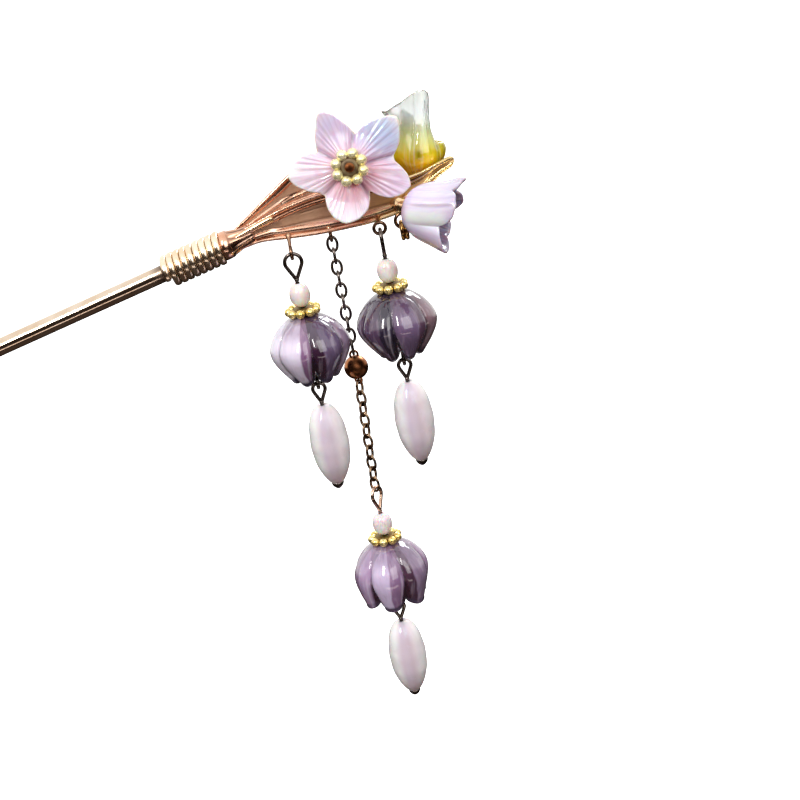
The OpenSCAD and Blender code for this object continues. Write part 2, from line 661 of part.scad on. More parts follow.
function turned(p, turn) = [p[0] * sin(p[1] + turn), -p[0] * cos(p[1] + turn), p[2]];

module glass_bell(turn, mouth, tint) {
    count = 36;
    inside = [0.985, 0.85, 0.68, 0.5, 0.32, 0.18];
    rings = concat(
        [[for (j = [0 : count - 1]) turned([bore_r, 360 * j / count, 0], turn)]],
        [for (row = BELL_LINE) [for (j = [0 : count - 1])
            turned(bell_point(360 * j / count, row[0], true, mouth), turn)]],
        [for (s = inside) [for (j = [0 : count - 1])
            turned(bell_point(360 * j / count, s, false, mouth), turn)]],
        [[for (j = [0 : count - 1]) turned([bore_r, 360 * j / count, -bell_wall], turn)]]);
    color(tint) translate([0, 0, bell_z]) hollow_body(rings);
}

module head_pin() {
    color(GUNMETAL) {
        translate([0, 0, pearl_hang_z]) teardrop(small_loop_w, small_loop_h, pin_d);
        translate([0, 0, head_ball_z])
            cylinder(h = pearl_hang_z - small_loop_drop - head_ball_z, d = pin_d, $fn = 24);
        translate([0, 0, head_ball_z]) sphere(d = head_ball_d, $fn = 24);
    }
}

// Rice pearl: a barrel of two round arcs about the drop's axis, with its ends cut at the bore
module pearl() {
    half = pearl_len / 2;
    arc_r = (half * half + pearl_d * pearl_d / 4) / pearl_d;
    color(PEARL) translate([0, 0, pearl_top_z - half]) difference() {
        rotate_extrude($fn = 48) intersection() {
            translate([pearl_d / 2 - arc_r, 0]) circle(r = arc_r, $fn = 160);
            translate([0, -half]) square([pearl_d, pearl_len]);
        }
        cylinder(h = pearl_len + 1, r = bore_r, center = true);
    }
}

hair_stick();
wire_wrap();
leaf_spray();
petal_flower();
flower_spacer();
flower_pin();
yellow_bell();
yellow_bell_pin();
lavender_bell();
lavender_pin();
binding_loop();
chain_upper();
chain_ball();
chain_lower();
hung(left_hang) eye_pin(0);  // eye_pin_left
hung(left_hang) bead();  // bead_left
hung(left_hang) spacer();  // spacer_left
hung(left_hang) glass_bell(33, left_mouth, PLUM);  // glass_bell_left
hung(left_hang) head_pin();  // head_pin_left
hung(left_hang) pearl();  // pearl_left
hung(right_hang) eye_pin(90);  // eye_pin_right
hung(right_hang) bead();  // bead_right
hung(right_hang) spacer();  // spacer_right
hung(right_hang) glass_bell(22, right_mouth, PLUM);  // glass_bell_right
hung(right_hang) head_pin();  // head_pin_right
hung(right_hang) pearl();  // pearl_right
hung(lower_hang) eye_pin(lower_loop_turn);  // eye_pin_lower
hung(lower_hang) bead();  // bead_lower
hung(lower_hang) spacer();  // spacer_lower
hung(lower_hang) glass_bell(-9, lower_mouth, LILAC);  // glass_bell_lower
hung(lower_hang) head_pin();  // head_pin_lower
hung(lower_hang) pearl();  // pearl_lower
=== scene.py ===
"""Buyao hairpin: a plated hair stick with cast leaves, glass flowers and hanging drops.

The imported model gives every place; the surfaces are worked out here. Shapes are in millimetres
from the points that the model gives, and piece() turns them into metres.
"""
import math

import bmesh
import bpy
import numpy as np
from mathutils import Matrix, Vector


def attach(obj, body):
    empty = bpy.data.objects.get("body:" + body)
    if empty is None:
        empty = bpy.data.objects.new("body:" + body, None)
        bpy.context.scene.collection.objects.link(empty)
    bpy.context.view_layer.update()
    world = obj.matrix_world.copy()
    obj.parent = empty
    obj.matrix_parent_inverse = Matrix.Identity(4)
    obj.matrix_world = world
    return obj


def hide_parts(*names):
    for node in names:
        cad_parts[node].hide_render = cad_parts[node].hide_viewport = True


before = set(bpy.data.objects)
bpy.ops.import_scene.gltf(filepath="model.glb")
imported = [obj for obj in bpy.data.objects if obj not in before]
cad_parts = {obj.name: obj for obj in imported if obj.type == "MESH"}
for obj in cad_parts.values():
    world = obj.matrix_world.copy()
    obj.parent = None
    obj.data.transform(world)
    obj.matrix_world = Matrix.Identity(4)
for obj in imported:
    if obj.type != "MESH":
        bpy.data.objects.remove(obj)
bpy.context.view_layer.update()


# The studio. White card lies well below the hanging hairpin and sweeps up all round. The light is a
# white ceiling over a dark room, as a jeweller's tent gives, and leans back as far as the camera looks
# down, so that metal is bright in its upper half and dark below.

MM = 0.001
CARD_Z = -300
CARD_FLAT_R = 1600
CARD_BEND_R = 600
CARD_WALL = 700

bend = np.radians(np.linspace(0, 90, 13))
card_r = np.concatenate([[300, 900], CARD_FLAT_R + CARD_BEND_R * np.sin(bend), [CARD_FLAT_R + CARD_BEND_R]])
card_z = np.concatenate([[0, 0], CARD_BEND_R * (1 - np.cos(bend)), [CARD_BEND_R + CARD_WALL]]) + CARD_Z
turn = np.radians(np.arange(0, 360, 4))
card_points = np.stack([card_r[:, None] * np.cos(turn), card_r[:, None] * np.sin(turn),
    card_z[:, None] + 0 * turn], -1).reshape(-1, 3)
card_points = np.vstack([card_points, [0, 0, CARD_Z]]) * MM
row, col = np.meshgrid(np.arange(len(card_r) - 1), np.arange(len(turn)), indexing="ij")
first, second = row * len(turn) + col, row * len(turn) + (col + 1) % len(turn)
card_faces = np.stack([first, second, second + len(turn), first + len(turn)], -1).reshape(-1, 4).tolist()
card_faces += [[len(card_points) - 1, (k + 1) % len(turn), k] for k in range(len(turn))]
card_mesh = bpy.data.meshes.new("white_card")
card_mesh.from_pydata(card_points.tolist(), [], card_faces)
card_mesh.polygons.foreach_set("use_smooth", np.ones(len(card_faces), bool))
card = bpy.data.objects.new("white_card", card_mesh)
bpy.context.scene.collection.objects.link(card)
card_paint = bpy.data.materials.new("card_white")
card_paint.use_nodes = True
card_sockets = card_paint.node_tree.nodes["Principled BSDF"].inputs
card_sockets["Base Color"].default_value = (0.93, 0.93, 0.93, 1)
card_sockets["Roughness"].default_value = 0.9
card_sockets["Emission Color"].default_value = (1, 1, 1, 1)
card_sockets["Emission Strength"].default_value = 0.9
card_mesh.materials.append(card_paint)
card.visible_glossy = False
card.visible_diffuse = False

LOOK_DOWN = math.radians(20)
ROOM_LIGHT = 1.15
room = bpy.data.worlds.new("light_tent")
room.use_nodes = True
bpy.context.scene.world = room
room_nodes = room.node_tree.nodes
room_links = room.node_tree.links
direction = room_nodes.new("ShaderNodeTexCoord")
leant = room_nodes.new("ShaderNodeMapping")
leant.inputs["Rotation"].default_value = (LOOK_DOWN, 0, 0)
height = room_nodes.new("ShaderNodeSeparateXYZ")
share = room_nodes.new("ShaderNodeMapRange")
share.inputs["From Min"].default_value = -1
tent = room_nodes.new("ShaderNodeValToRGB")
# Columns: height of the leant direction from -1 at the bottom to 1 at the top, colour there
TENT = [(-1.0, (0.05, 0.036, 0.03)), (-0.35, (0.02, 0.013, 0.01)), (0.04, (0.03, 0.02, 0.016)),
    (0.16, (0.95, 0.93, 0.9)), (0.5, (1, 1, 1))]
for at, colour in TENT:
    stop = tent.color_ramp.elements.new((at + 1) / 2)
    stop.color = (*colour, 1)
for spare in (tent.color_ramp.elements[0], tent.color_ramp.elements[-1]):
    spare.color = (*(TENT[0][1] if spare.position < 0.5 else TENT[-1][1]), 1)
room_links.new(direction.outputs["Generated"], leant.inputs["Vector"])
room_links.new(leant.outputs[0], height.inputs[0])
room_links.new(height.outputs["Z"], share.inputs["Value"])
room_links.new(share.outputs[0], tent.inputs[0])
room_links.new(tent.outputs[0], room_nodes["Background"].inputs["Color"])
room_nodes["Background"].inputs["Strength"].default_value = ROOM_LIGHT

LIT_POINT = Vector((0.085, 0, -0.01))


def softbox(name, place, width, height, power, colour):
    """A plain area light, in metres and watts, turned to the middle of the drops."""
    light = bpy.data.lights.new(name, "AREA")
    light.shape = "RECTANGLE"
    light.size = width
    light.size_y = height
    light.energy = power
    light.color = colour
    lamp = bpy.data.objects.new(name, light)
    lamp.location = place
    lamp.rotation_euler = (LIT_POINT - Vector(place)).to_track_quat("-Z", "Y").to_euler()
    bpy.context.scene.collection.objects.link(lamp)


softbox("window_strip", (-0.22, -0.50, 0.42), 0.08, 0.30, 2.3, (1, 0.98, 0.95))
softbox("front_fill", (0.34, -0.60, 0.34), 0.5, 0.5, 1.9, (1, 0.99, 0.98))
softbox("low_card", (0.10, -0.55, -0.32), 0.6, 0.07, 0.25, (1, 0.86, 0.8))
softbox("back_rim", (0.45, 0.55, 0.40), 0.25, 0.25, 2.2, (0.95, 0.97, 1))

# The camera stands 230 mm off the drops, looks down by 20 degrees and is rolled by 10.5 degrees.
CAMERA_AT = Vector((0.08212, -0.21613, 0.06739))
ROLL = math.radians(10.5)
CAMERA_LENS = 72.4
level_up = Vector((0, math.sin(LOOK_DOWN), math.cos(LOOK_DOWN)))
camera_right = math.cos(ROLL) * Vector((1, 0, 0)) - math.sin(ROLL) * level_up
camera_up = math.sin(ROLL) * Vector((1, 0, 0)) + math.cos(ROLL) * level_up
camera_data = bpy.data.cameras.new("camera")
camera_data.lens = CAMERA_LENS
camera = bpy.data.objects.new("camera", camera_data)
camera.matrix_world = Matrix.Translation(CAMERA_AT) @ Matrix(
    (camera_right, camera_up, camera_right.cross(camera_up))).transposed().to_4x4()
bpy.context.scene.collection.objects.link(camera)
bpy.context.scene.camera = camera
bpy.context.scene.view_settings.view_transform = "Standard"


# The hair stick: a turned brass rod, plated in champagne gold and polished along its length. Its far
# end is drawn down to a small round point, and its near end steps down to a tenon inside the wrap.

SHAFT_RISE = math.radians(14)
GRIP_TO_POINT = 55
SHAFT_LEN = 110
SHAFT_R = 1.2
TENON_R = 1.02
TENON_LEN = 4.8
POINT_R = 0.6
TAPER_LEN = 8
ALONG = np.array([math.cos(SHAFT_RISE), 0, math.sin(SHAFT_RISE)])
ACROSS = np.array([0, 1, 0])
ABOVE = np.array([-math.sin(SHAFT_RISE), 0, math.cos(SHAFT_RISE)])
UP = np.array([0, 0, 1])
RIGHTWARD = np.array([1, 0, 0])
HEAD = (SHAFT_LEN - GRIP_TO_POINT) * ALONG


def tone(red, green, blue):
    """Screen colour from 0 to 255 as the linear light that shaders take: the share, less 0.055, over
    1.055, to the power 2.4."""
    screen = np.array([red, green, blue]) / 255
    return tuple(np.where(screen < 0.04, screen / 12.92, ((screen + 0.055) / 1.055) ** 2.4))


def finish(name, sockets):
    """A new material. sockets holds what is the same all over, set on the shader's own sockets."""
    made = bpy.data.materials.new(name)
    made.use_nodes = True
    shader = made.node_tree.nodes["Principled BSDF"]
    for socket, value in sockets.items():
        shader.inputs[socket].default_value = value
    return made, shader


def add(made, kind, sockets=None, **settings):
    """Adds a node: a socket's value is a number or colour to set, or another node's socket to link."""
    step = made.node_tree.nodes.new(kind)
    for key, value in settings.items():
        setattr(step, key, value)
    for key, value in (sockets or {}).items():
        if isinstance(value, bpy.types.NodeSocket):
            made.node_tree.links.new(value, step.inputs[key])
        else:
            step.inputs[key].default_value = value
    return step


def link(made, shader, **ties):
    """Ties sockets of the shader, named with underscores for spaces, to other nodes' sockets."""
    for socket, source in ties.items():
        made.node_tree.links.new(source, shader.inputs[socket.replace("_", " ")])


def mixed(made, amount, low, high, blend="MIX"):
    """Colour that goes from low to high with amount. low and high are screen colours or sockets."""
    low, high = (c if isinstance(c, bpy.types.NodeSocket) else (*tone(*c), 1) for c in (low, high))
    return add(made, "ShaderNodeMix", {0: amount, 6: low, 7: high}, data_type="RGBA",
        blend_type=blend).outputs[2]


def spread(made, value, low, high, from_low=0.0, from_high=1.0):
    """Stretches a value's range to low..high."""
    return add(made, "ShaderNodeMapRange", {"Value": value, "From Min": from_low, "From Max": from_high,
        "To Min": low, "To Max": high}).outputs[0]


def cloud(made, place, scale, detail=3.0, warp=0.0):
    """Soft noise, scale times in a metre, of 0 to 1."""
    return add(made, "ShaderNodeTexNoise", {"Vector": place, "Scale": scale, "Detail": detail,
        "Distortion": warp}).outputs[0]


def drift(made, place, scale, detail, warp):
    """Slow clouds with more contrast, of 0 to 1."""
    return spread(made, cloud(made, place, scale, detail, warp), 0, 1, 0.35, 0.65)


def mark(made, name):
    """A value kept on the mesh's points."""
    return add(made, "ShaderNodeAttribute", attribute_name=name).outputs["Fac"]


def tinted(made):
    """The colour kept on the mesh's points."""
    return add(made, "ShaderNodeAttribute", attribute_name="tint").outputs["Color"]


def place_on(made, kind="Object"):
    """Where a point lies: in the piece's own metres, or in its UV map."""
    return add(made, "ShaderNodeTexCoord").outputs[kind]


def drawn_out(made, place, *scale):
    """The place scaled along each way, so that a pattern over it is drawn out where the scale is small."""
    return add(made, "ShaderNodeMapping", {"Vector": place, "Scale": scale}).outputs[0]


def joined(made, one, other, operation="MULTIPLY", clamp=False):
    """Two values multiplied, or joined by another operation."""
    return add(made, "ShaderNodeMath", {0: one, 1: other}, operation=operation, use_clamp=clamp).outputs[0]


def bumps(made, strength, distance, height):
    """Fine relief, a distance deep in metres, where height is a pattern."""
    return add(made, "ShaderNodeBump", {"Strength": strength, "Distance": distance,
        "Height": height}).outputs[0]


def plating(name, bright, deep, shade_and_patina_tone, roughness, grain=0.25, metal=1.0):
    """Polished plate. Its colour drifts between bright and deep in slow clouds, the mark shade darkens it
    towards a dark tone for tarnish and for painted shade in hollows and underneath, and a fine grain
    breaks up its gloss."""
    made, shader = finish(name, {"Metallic": metal})
    place = place_on(made)
    slow = drift(made, place, 420, 4, 0.4)
    shade = mark(made, "shade")
    # The mark shade broken by clouds: tarnish, and painted shade in hollows and underneath.
    shade_and_patina = joined(made, shade, spread(made, cloud(made, place, 1500, 3), 0.75, 1.1), clamp=True)
    colour = mixed(made, shade_and_patina, mixed(made, slow, bright, deep), shade_and_patina_tone)
    mottled = spread(made, cloud(made, place, 2600, 2), roughness - 0.04, roughness + 0.07)
    gloss = joined(made, mottled, spread(made, shade_and_patina, 0, 0.3), "ADD")
    relief = bumps(made, grain, 0.00002, cloud(made, place, 3800, 2))
    link(made, shader, Base_Color=colour, Roughness=gloss, Normal=relief)
    return made


def skin(points, around=True, loop=False, ends=(True, True), **marks):
    """One surface for piece(): a grid of points in millimetres, rows by columns. around closes its
    columns and loop its rows, ends closes its first and last row with a fan, and marks are values
    or colours for each point."""
    return {"points": np.asarray(points, float), "around": around, "loop": loop, "ends": ends,
        "marks": marks}


def piece(name, skins, made, body, slot, *nodes):
    """Joins skins into one mesh in metres, with its UV map and marks, that rides on a body in the place
    of the nodes. Corner (i, j) of a grid meets (i, j + 1), (i + 1, j + 1) and (i + 1, j)."""
    points, faces, corners_uv, start = [], [], [], 0
    names = sorted({key for part in skins for key in part["marks"]})
    values = {key: [] for key in names}
    for part in skins:
        grid = part["points"]
        rows, cols = grid.shape[:2]
        i, j = np.meshgrid(np.arange(rows if part["loop"] else rows - 1),
            np.arange(cols if part["around"] else cols - 1), indexing="ij")
        i, j = i.ravel(), j.ravel()
        steps = ((0, 0), (0, 1), (1, 1), (1, 0))
        quads = np.stack([start + (i + a) % rows * cols + (j + b) % cols for a, b in steps], -1)
        faces += quads.tolist()
        quad_uv = [np.stack([(j + b) / cols, (i + a) / rows], -1) for a, b in steps]
        corners_uv.append(np.stack(quad_uv, 1).reshape(-1, 2))
        points.append(grid.reshape(-1, 3))
        own = {}
        for key in names:
            value = part["marks"].get(key, 0.0)
            deep = 3 if np.ndim(value) == 3 and np.shape(value)[-1] == 3 else 1
            own[key] = np.broadcast_to(value, (rows, cols, 3)[:2 + (deep == 3)]).reshape(rows, cols, deep)
            values[key].append(own[key].reshape(-1, deep))
        centre = start + rows * cols
        for end, row in ((0, 0), (1, rows - 1)):
            if part["around"] and not part["loop"] and part["ends"][end]:
                ring = start + row * cols + np.arange(cols)
                step = 1 if end else -1
                faces += np.stack([ring, np.roll(ring, -step), np.full(cols, centre)], -1).tolist()
                spots = np.arange(cols) / cols
                corners_uv.append(np.stack([np.stack([spots, spots * 0 + end], -1),
                    np.stack([spots + step / cols, spots * 0 + end], -1),
                    np.stack([spots, spots * 0 + end], -1)], 1).reshape(-1, 2))
                points.append(grid[row].mean(0)[None])
                for key in names:
                    values[key].append(own[key][row].mean(0)[None])
                centre += 1
        start = centre
    mesh = bpy.data.meshes.new(name)
    mesh.from_pydata((np.vstack(points) * MM).tolist(), [], faces)
    uv_map = mesh.uv_layers.new(name="UVMap")
    uv_map.data.foreach_set("uv", np.vstack(corners_uv).astype(np.float32).ravel())
    for key in names:
        value = np.vstack(values[key])
        if value.shape[1] == 3:
            kept = mesh.attributes.new(key, "FLOAT_COLOR", "POINT")
            value = np.hstack([value, np.ones((len(value), 1))])
            kept.data.foreach_set("color", value.astype(np.float32).ravel())
        else:
            kept = mesh.attributes.new(key, "FLOAT", "POINT")
            kept.data.foreach_set("value", value.astype(np.float32).ravel())
    work = bmesh.new()
    work.from_mesh(mesh)
    bmesh.ops.recalc_face_normals(work, faces=work.faces)
    work.to_mesh(mesh)
    work.free()
    mesh.polygons.foreach_set("use_smooth", np.ones(len(mesh.polygons), bool))
    mesh.materials.append(made)
    shaped = bpy.data.objects.new(name, mesh)
    bpy.context.scene.collection.objects.link(shaped)
    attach(shaped, body)
    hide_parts(*nodes)
    return shaped


def circle(count):
    """Angles spaced evenly round a full turn."""
    return np.linspace(0, 2 * np.pi, count, endpoint=False)


def unit(vector):
    """The same direction with a length of 1."""
    return vector / np.linalg.norm(vector, axis=-1, keepdims=True)


def turned(angle, across, up):
    """Directions at each angle from across towards up: its cosine times across plus its sine times up."""
    return np.cos(angle)[:, None] * across + np.sin(angle)[:, None] * up


def lathe(stations, radii, origin, axis, columns=48, **marks):
    """Surface of revolution: stations along the axis from the origin, each a ring of its radius. Stations,
    radii and marks hold one value a ring, or one for each of its columns."""
    axis = unit(np.asarray(axis, float))
    side = unit(np.cross(axis, (0, 1, 0) if abs(axis[1]) < 0.9 else (1, 0, 0)))
    ring = turned(circle(columns), side, np.cross(axis, side))
    radii = np.reshape(radii, (len(stations), -1, 1))
    points = np.asarray(origin) + np.reshape(stations, (len(stations), -1, 1)) * axis + radii * ring
    marks = {key: np.reshape(value, (len(stations), -1)) for key, value in marks.items()}
    return skin(points, **{key: value * np.ones(columns) for key, value in marks.items()})


arc = np.radians(np.linspace(0, 80, 9))
taper = np.linspace(2 * POINT_R, TAPER_LEN, 10)
stick_s = np.concatenate([POINT_R * (1 - np.cos(arc)), taper,
    np.linspace(TAPER_LEN + 1, SHAFT_LEN - 0.1, 60),
    [SHAFT_LEN - 0.02, SHAFT_LEN, SHAFT_LEN + 0.05, SHAFT_LEN + TENON_LEN]])
stick_r = np.concatenate([POINT_R * np.sin(arc) + 0.001,
    np.interp(taper, [POINT_R, TAPER_LEN], [POINT_R, SHAFT_R]),
    np.full(60, SHAFT_R), [SHAFT_R, SHAFT_R - 0.03, TENON_R, TENON_R]])
# Painted shade on the shaft's last millimetre, where it runs into the wrap, and on the tenon inside it.
stick_painted_shade = np.clip((stick_s - SHAFT_LEN + 0.8) * 1.2, 0, 0.9)
stick_plate = plating("champagne_stick", (232, 214, 194), (220, 196, 170), (60, 30, 14),
    0.1, 0.08)
piece("hair_stick", [lathe(stick_s, stick_r, -GRIP_TO_POINT * ALONG, ALONG, 56, shade=stick_painted_shade)],
    stick_plate, "root", "champagne", "hair_stick")


# The wire wrap: half-hard champagne wire a millimetre thick, wound by hand in a little over eight close
# left-handed turns over the joint of shaft and head. Its ends are filed round, and painted shade darkens
# its grooves, most of all underneath.

TURNS = 8.4
PITCH = 0.975
WRAP_MID_R = 1.845
WIRE_W = 0.97
WIRE_T = 1.05
FIRST_ANGLE = -60
WIRE_END = (180 + FIRST_ANGLE - 360 * TURNS) % 360


def rounding(share, least=0.0):
    """Quarter of a circle from 0 to 1, over shares of 0 to 1: the root of 1 less the square of what is
    left. least is the least that the root is taken of."""
    return np.sqrt(np.maximum(1 - np.clip(1 - share, 0, 1) ** 2, least))


def helix_wire(turn_at, filed):
    """Wire wound on the shaft: its middle runs on a cylinder of WRAP_MID_R, a pitch further with each
    turn, and its section is a blunt ellipse, cosine and sine to powers under 1, that the filed ends
    shrink. A little wander keeps it hand-made."""
    around = -2 * np.pi * turn_at + math.radians(FIRST_ANGLE)
    wander = 0.018 * np.sin(turn_at * 4.1) + 0.012 * np.sin(turn_at * 9.7 + 1)
    section = circle(22)
    high, wide = (np.sign(way) * np.abs(way) ** power
        for way, power in ((np.cos(section), 0.6), (np.sin(section), 0.8)))
    radius = WRAP_MID_R + wander[:, None] * 0.5 + high * filed[:, None] * WIRE_T / 2
    slide = wander * 0.6 * (turn_at > 0.1) * (turn_at < TURNS - 0.1)
    run = WIRE_W / 2 + (PITCH * turn_at + slide)[:, None] + wide * filed[:, None] * WIRE_W / 2
    outward = turned(around, -ABOVE, ACROSS)[:, None]
    # Painted shade: the wire darkens where its turns meet and on its side against the shaft, and its
    # grooves darken most underneath.
    under = np.clip(np.cos(around) * 1.3 + 0.45, 0.25, 1)[:, None]
    sides = np.clip((np.abs(np.sin(section)) - 0.8) * 5, 0, 0.95)
    groove_shade = under * sides + np.clip(-1.4 * np.cos(section), 0, 1)
    return skin(HEAD + radius[..., None] * outward + run[..., None] * ALONG, shade=np.clip(groove_shade, 0, 1))


FILED_TURN = 0.04
filed_in = np.linspace(0, 1, 7)[:-1] * FILED_TURN
turn_at = np.concatenate([filed_in, np.linspace(FILED_TURN, TURNS - FILED_TURN, 540),
    TURNS - filed_in[::-1]])
filed = rounding(np.minimum(turn_at, TURNS - turn_at) / FILED_TURN, 0.003)
wrap_plate = plating("champagne_wire", (255, 240, 216), (244, 216, 182), (52, 22, 8), 0.2, 0.2)
piece("wire_wrap", [helix_wire(turn_at, filed)], wrap_plate, "root", "champagne", "wire_wrap")


# The leaf spray: two long cast brass leaves with doubled rims, fanned from one ribbed root behind the
# wrap, with a short blunt stem on them and lugs and cups soldered to them. Copper plate turns golden to
# the tip; the troughs between the rims are brushed and stay darker.

ROOT = np.array([8.956, 0, 2.233])
LOWER_SPAN = 33
LOWER_RISE = 6.2
UPPER_SPAN = 20.6
UPPER_RISE = 12
UPPER_BACK = 1.3
LEAF_WEB = 0.7
RIM_D = 1.2
RIM_ZONE = 1.7
LEAF_TROUGH = 1.2
TIP_ROUND = 0.7
# Columns: share of the length, lower and upper edge as shares of the rise, share of the trough's depth
LOWER_LEAF = np.array([[0, -0.15, 0.15, 0], [0.06, -0.15, 0.27, 0.2], [0.15, -0.08, 0.42, 0.6],
    [0.26, -0.11, 0.60, 0.9], [0.39, -0.14, 0.75, 1], [0.52, -0.13, 0.81, 1], [0.64, -0.09, 0.80, 1],
    [0.75, 0.03, 0.78, 0.9], [0.85, 0.33, 0.84, 0.7], [0.93, 0.66, 0.98, 0.5], [1, 0.86, 1.08, 0.2]])
UPPER_LEAF = np.array([[0.03, 0, 0.08, 0], [0.08, 0.05, 0.16, 0.1], [0.20, 0.14, 0.30, 0.2],
    [0.35, 0.22, 0.48, 0.4], [0.50, 0.29, 0.65, 0.5], [0.65, 0.34, 0.775, 0.5], [0.80, 0.41, 0.88, 0.4],
    [0.92, 0.55, 0.96, 0.3], [1, 0.86, 1, 0.1]])
# Engraved lines. Columns: share of the width, depth, half width, first and last share of the length
LOWER_SEAMS = [(0.34, 0.16, 0.2, 0.2, 0.74), (0.62, 0.1, 0.14, 0.3, 0.6), (0.5, 0.34, 0.2, 0.86, 1.0)]
UPPER_SEAMS = [(0.3, 0.1, 0.16, 0.4, 0.96), (0.62, 0.12, 0.14, 0.6, 0.98)]
# Across a doubled rim from the edge inwards. Columns: share of the zone, share of the rim's half
# thickness, painted shade in the recess
RIM_LINE = np.array([[0, 0, 0.5], [0.012, 0.24, 0.35], [0.04, 0.46, 0.2], [0.09, 0.7, 0], [0.16, 0.9, 0],
    [0.25, 1, 0], [0.34, 0.92, 0], [0.41, 0.72, 0.4], [0.46, 0.56, 0.8], [0.52, 0.54, 0.7],
    [0.58, 0.6, 0.35], [0.66, 0.68, 0], [0.75, 0.69, 0], [0.84, 0.62, 0.1], [0.91, 0.54, 0.4],
    [1, 0.5, 0.15]])


def flowing(at, stations, values):
    """Smooth curve through values at the stations: in each span the cubic that has the mean slopes of
    its neighbours at its two ends."""
    stations, values = np.asarray(stations, float), np.asarray(values, float)
    at = np.clip(np.asarray(at, float), stations[0], stations[-1])
    slopes = np.gradient(values, stations, axis=0)
    k = np.clip(np.searchsorted(stations, at, "right") - 1, 0, len(stations) - 2)
    span = stations[k + 1] - stations[k]
    t = (at - stations[k]) / span
    if values.ndim > 1:
        t, span = t[..., None], span[..., None]
    return (2 * t ** 3 - 3 * t ** 2 + 1) * values[k] + (t ** 3 - 2 * t ** 2 + t) * span * slopes[k] \
        + (3 * t ** 2 - 2 * t ** 3) * values[k + 1] + (t ** 3 - t ** 2) * span * slopes[k + 1]


def ease(x):
    """0 below 0, 1 above 1, and 3 x squared less 2 x cubed between."""
    x = np.clip(x, 0, 1)
    return x * x * (3 - 2 * x)


def wire(path, radius, side=(0, 1, 0), columns=18, loop=False, ends=(True, True), **marks):
    """Round wire along a path. Each ring stands across the path's run, turned by the side vector, and
    the open ends are rounded: their rings shrink as the root of 1 less the square of their share."""
    path = np.asarray(path, float)
    radius = np.broadcast_to(np.asarray(radius, float), len(path)).copy()
    if loop:
        run = np.roll(path, -1, 0) - np.roll(path, 1, 0)
    else:
        run = np.gradient(path, axis=0)
    run = unit(run)
    share = np.array([0.3, 0.6, 0.85, 0.99])
    grown = {key: np.broadcast_to(np.asarray(value, float), len(path)) for key, value in marks.items()}
    if not loop and ends[1]:
        path = np.vstack([path, path[-1] + share[:, None] * radius[-1] * run[-1]])
        radius = np.concatenate([radius, radius[-1] * np.sqrt(1 - share ** 2)])
        run = np.vstack([run, np.repeat(run[-1:], 4, 0)])
        grown = {key: np.concatenate([value, np.full(4, value[-1])]) for key, value in grown.items()}
    if not loop and ends[0]:
        path = np.vstack([path[0] - share[::-1, None] * radius[0] * run[0], path])
        radius = np.concatenate([radius[0] * np.sqrt(1 - share[::-1] ** 2), radius])
        run = np.vstack([np.repeat(run[:1], 4, 0), run])
        grown = {key: np.concatenate([np.full(4, value[0]), value]) for key, value in grown.items()}
    out = unit(np.cross(run, np.asarray(side, float)))
    ring = turned(circle(columns), out[:, None], np.cross(out, run)[:, None])
    points = path[:, None] + radius[:, None, None] * ring
    grown = {key: value[:, None] * np.ones(columns) for key, value in grown.items()}
    return skin(points, loop=loop, **grown)


def hoop(middle, radius, wire_r, across, up=(0, 0, 1), columns=18, steps=44, oval=1.0, **marks):
    """Closed ring of wire in the plane of across and up; oval is its height over its width."""
    across, up = np.asarray(across, float), np.asarray(up, float)
    path = np.asarray(middle, float) + radius * turned(circle(steps), across, oval * up)
    return wire(path, wire_r, np.cross(across, up), columns, loop=True, **marks)


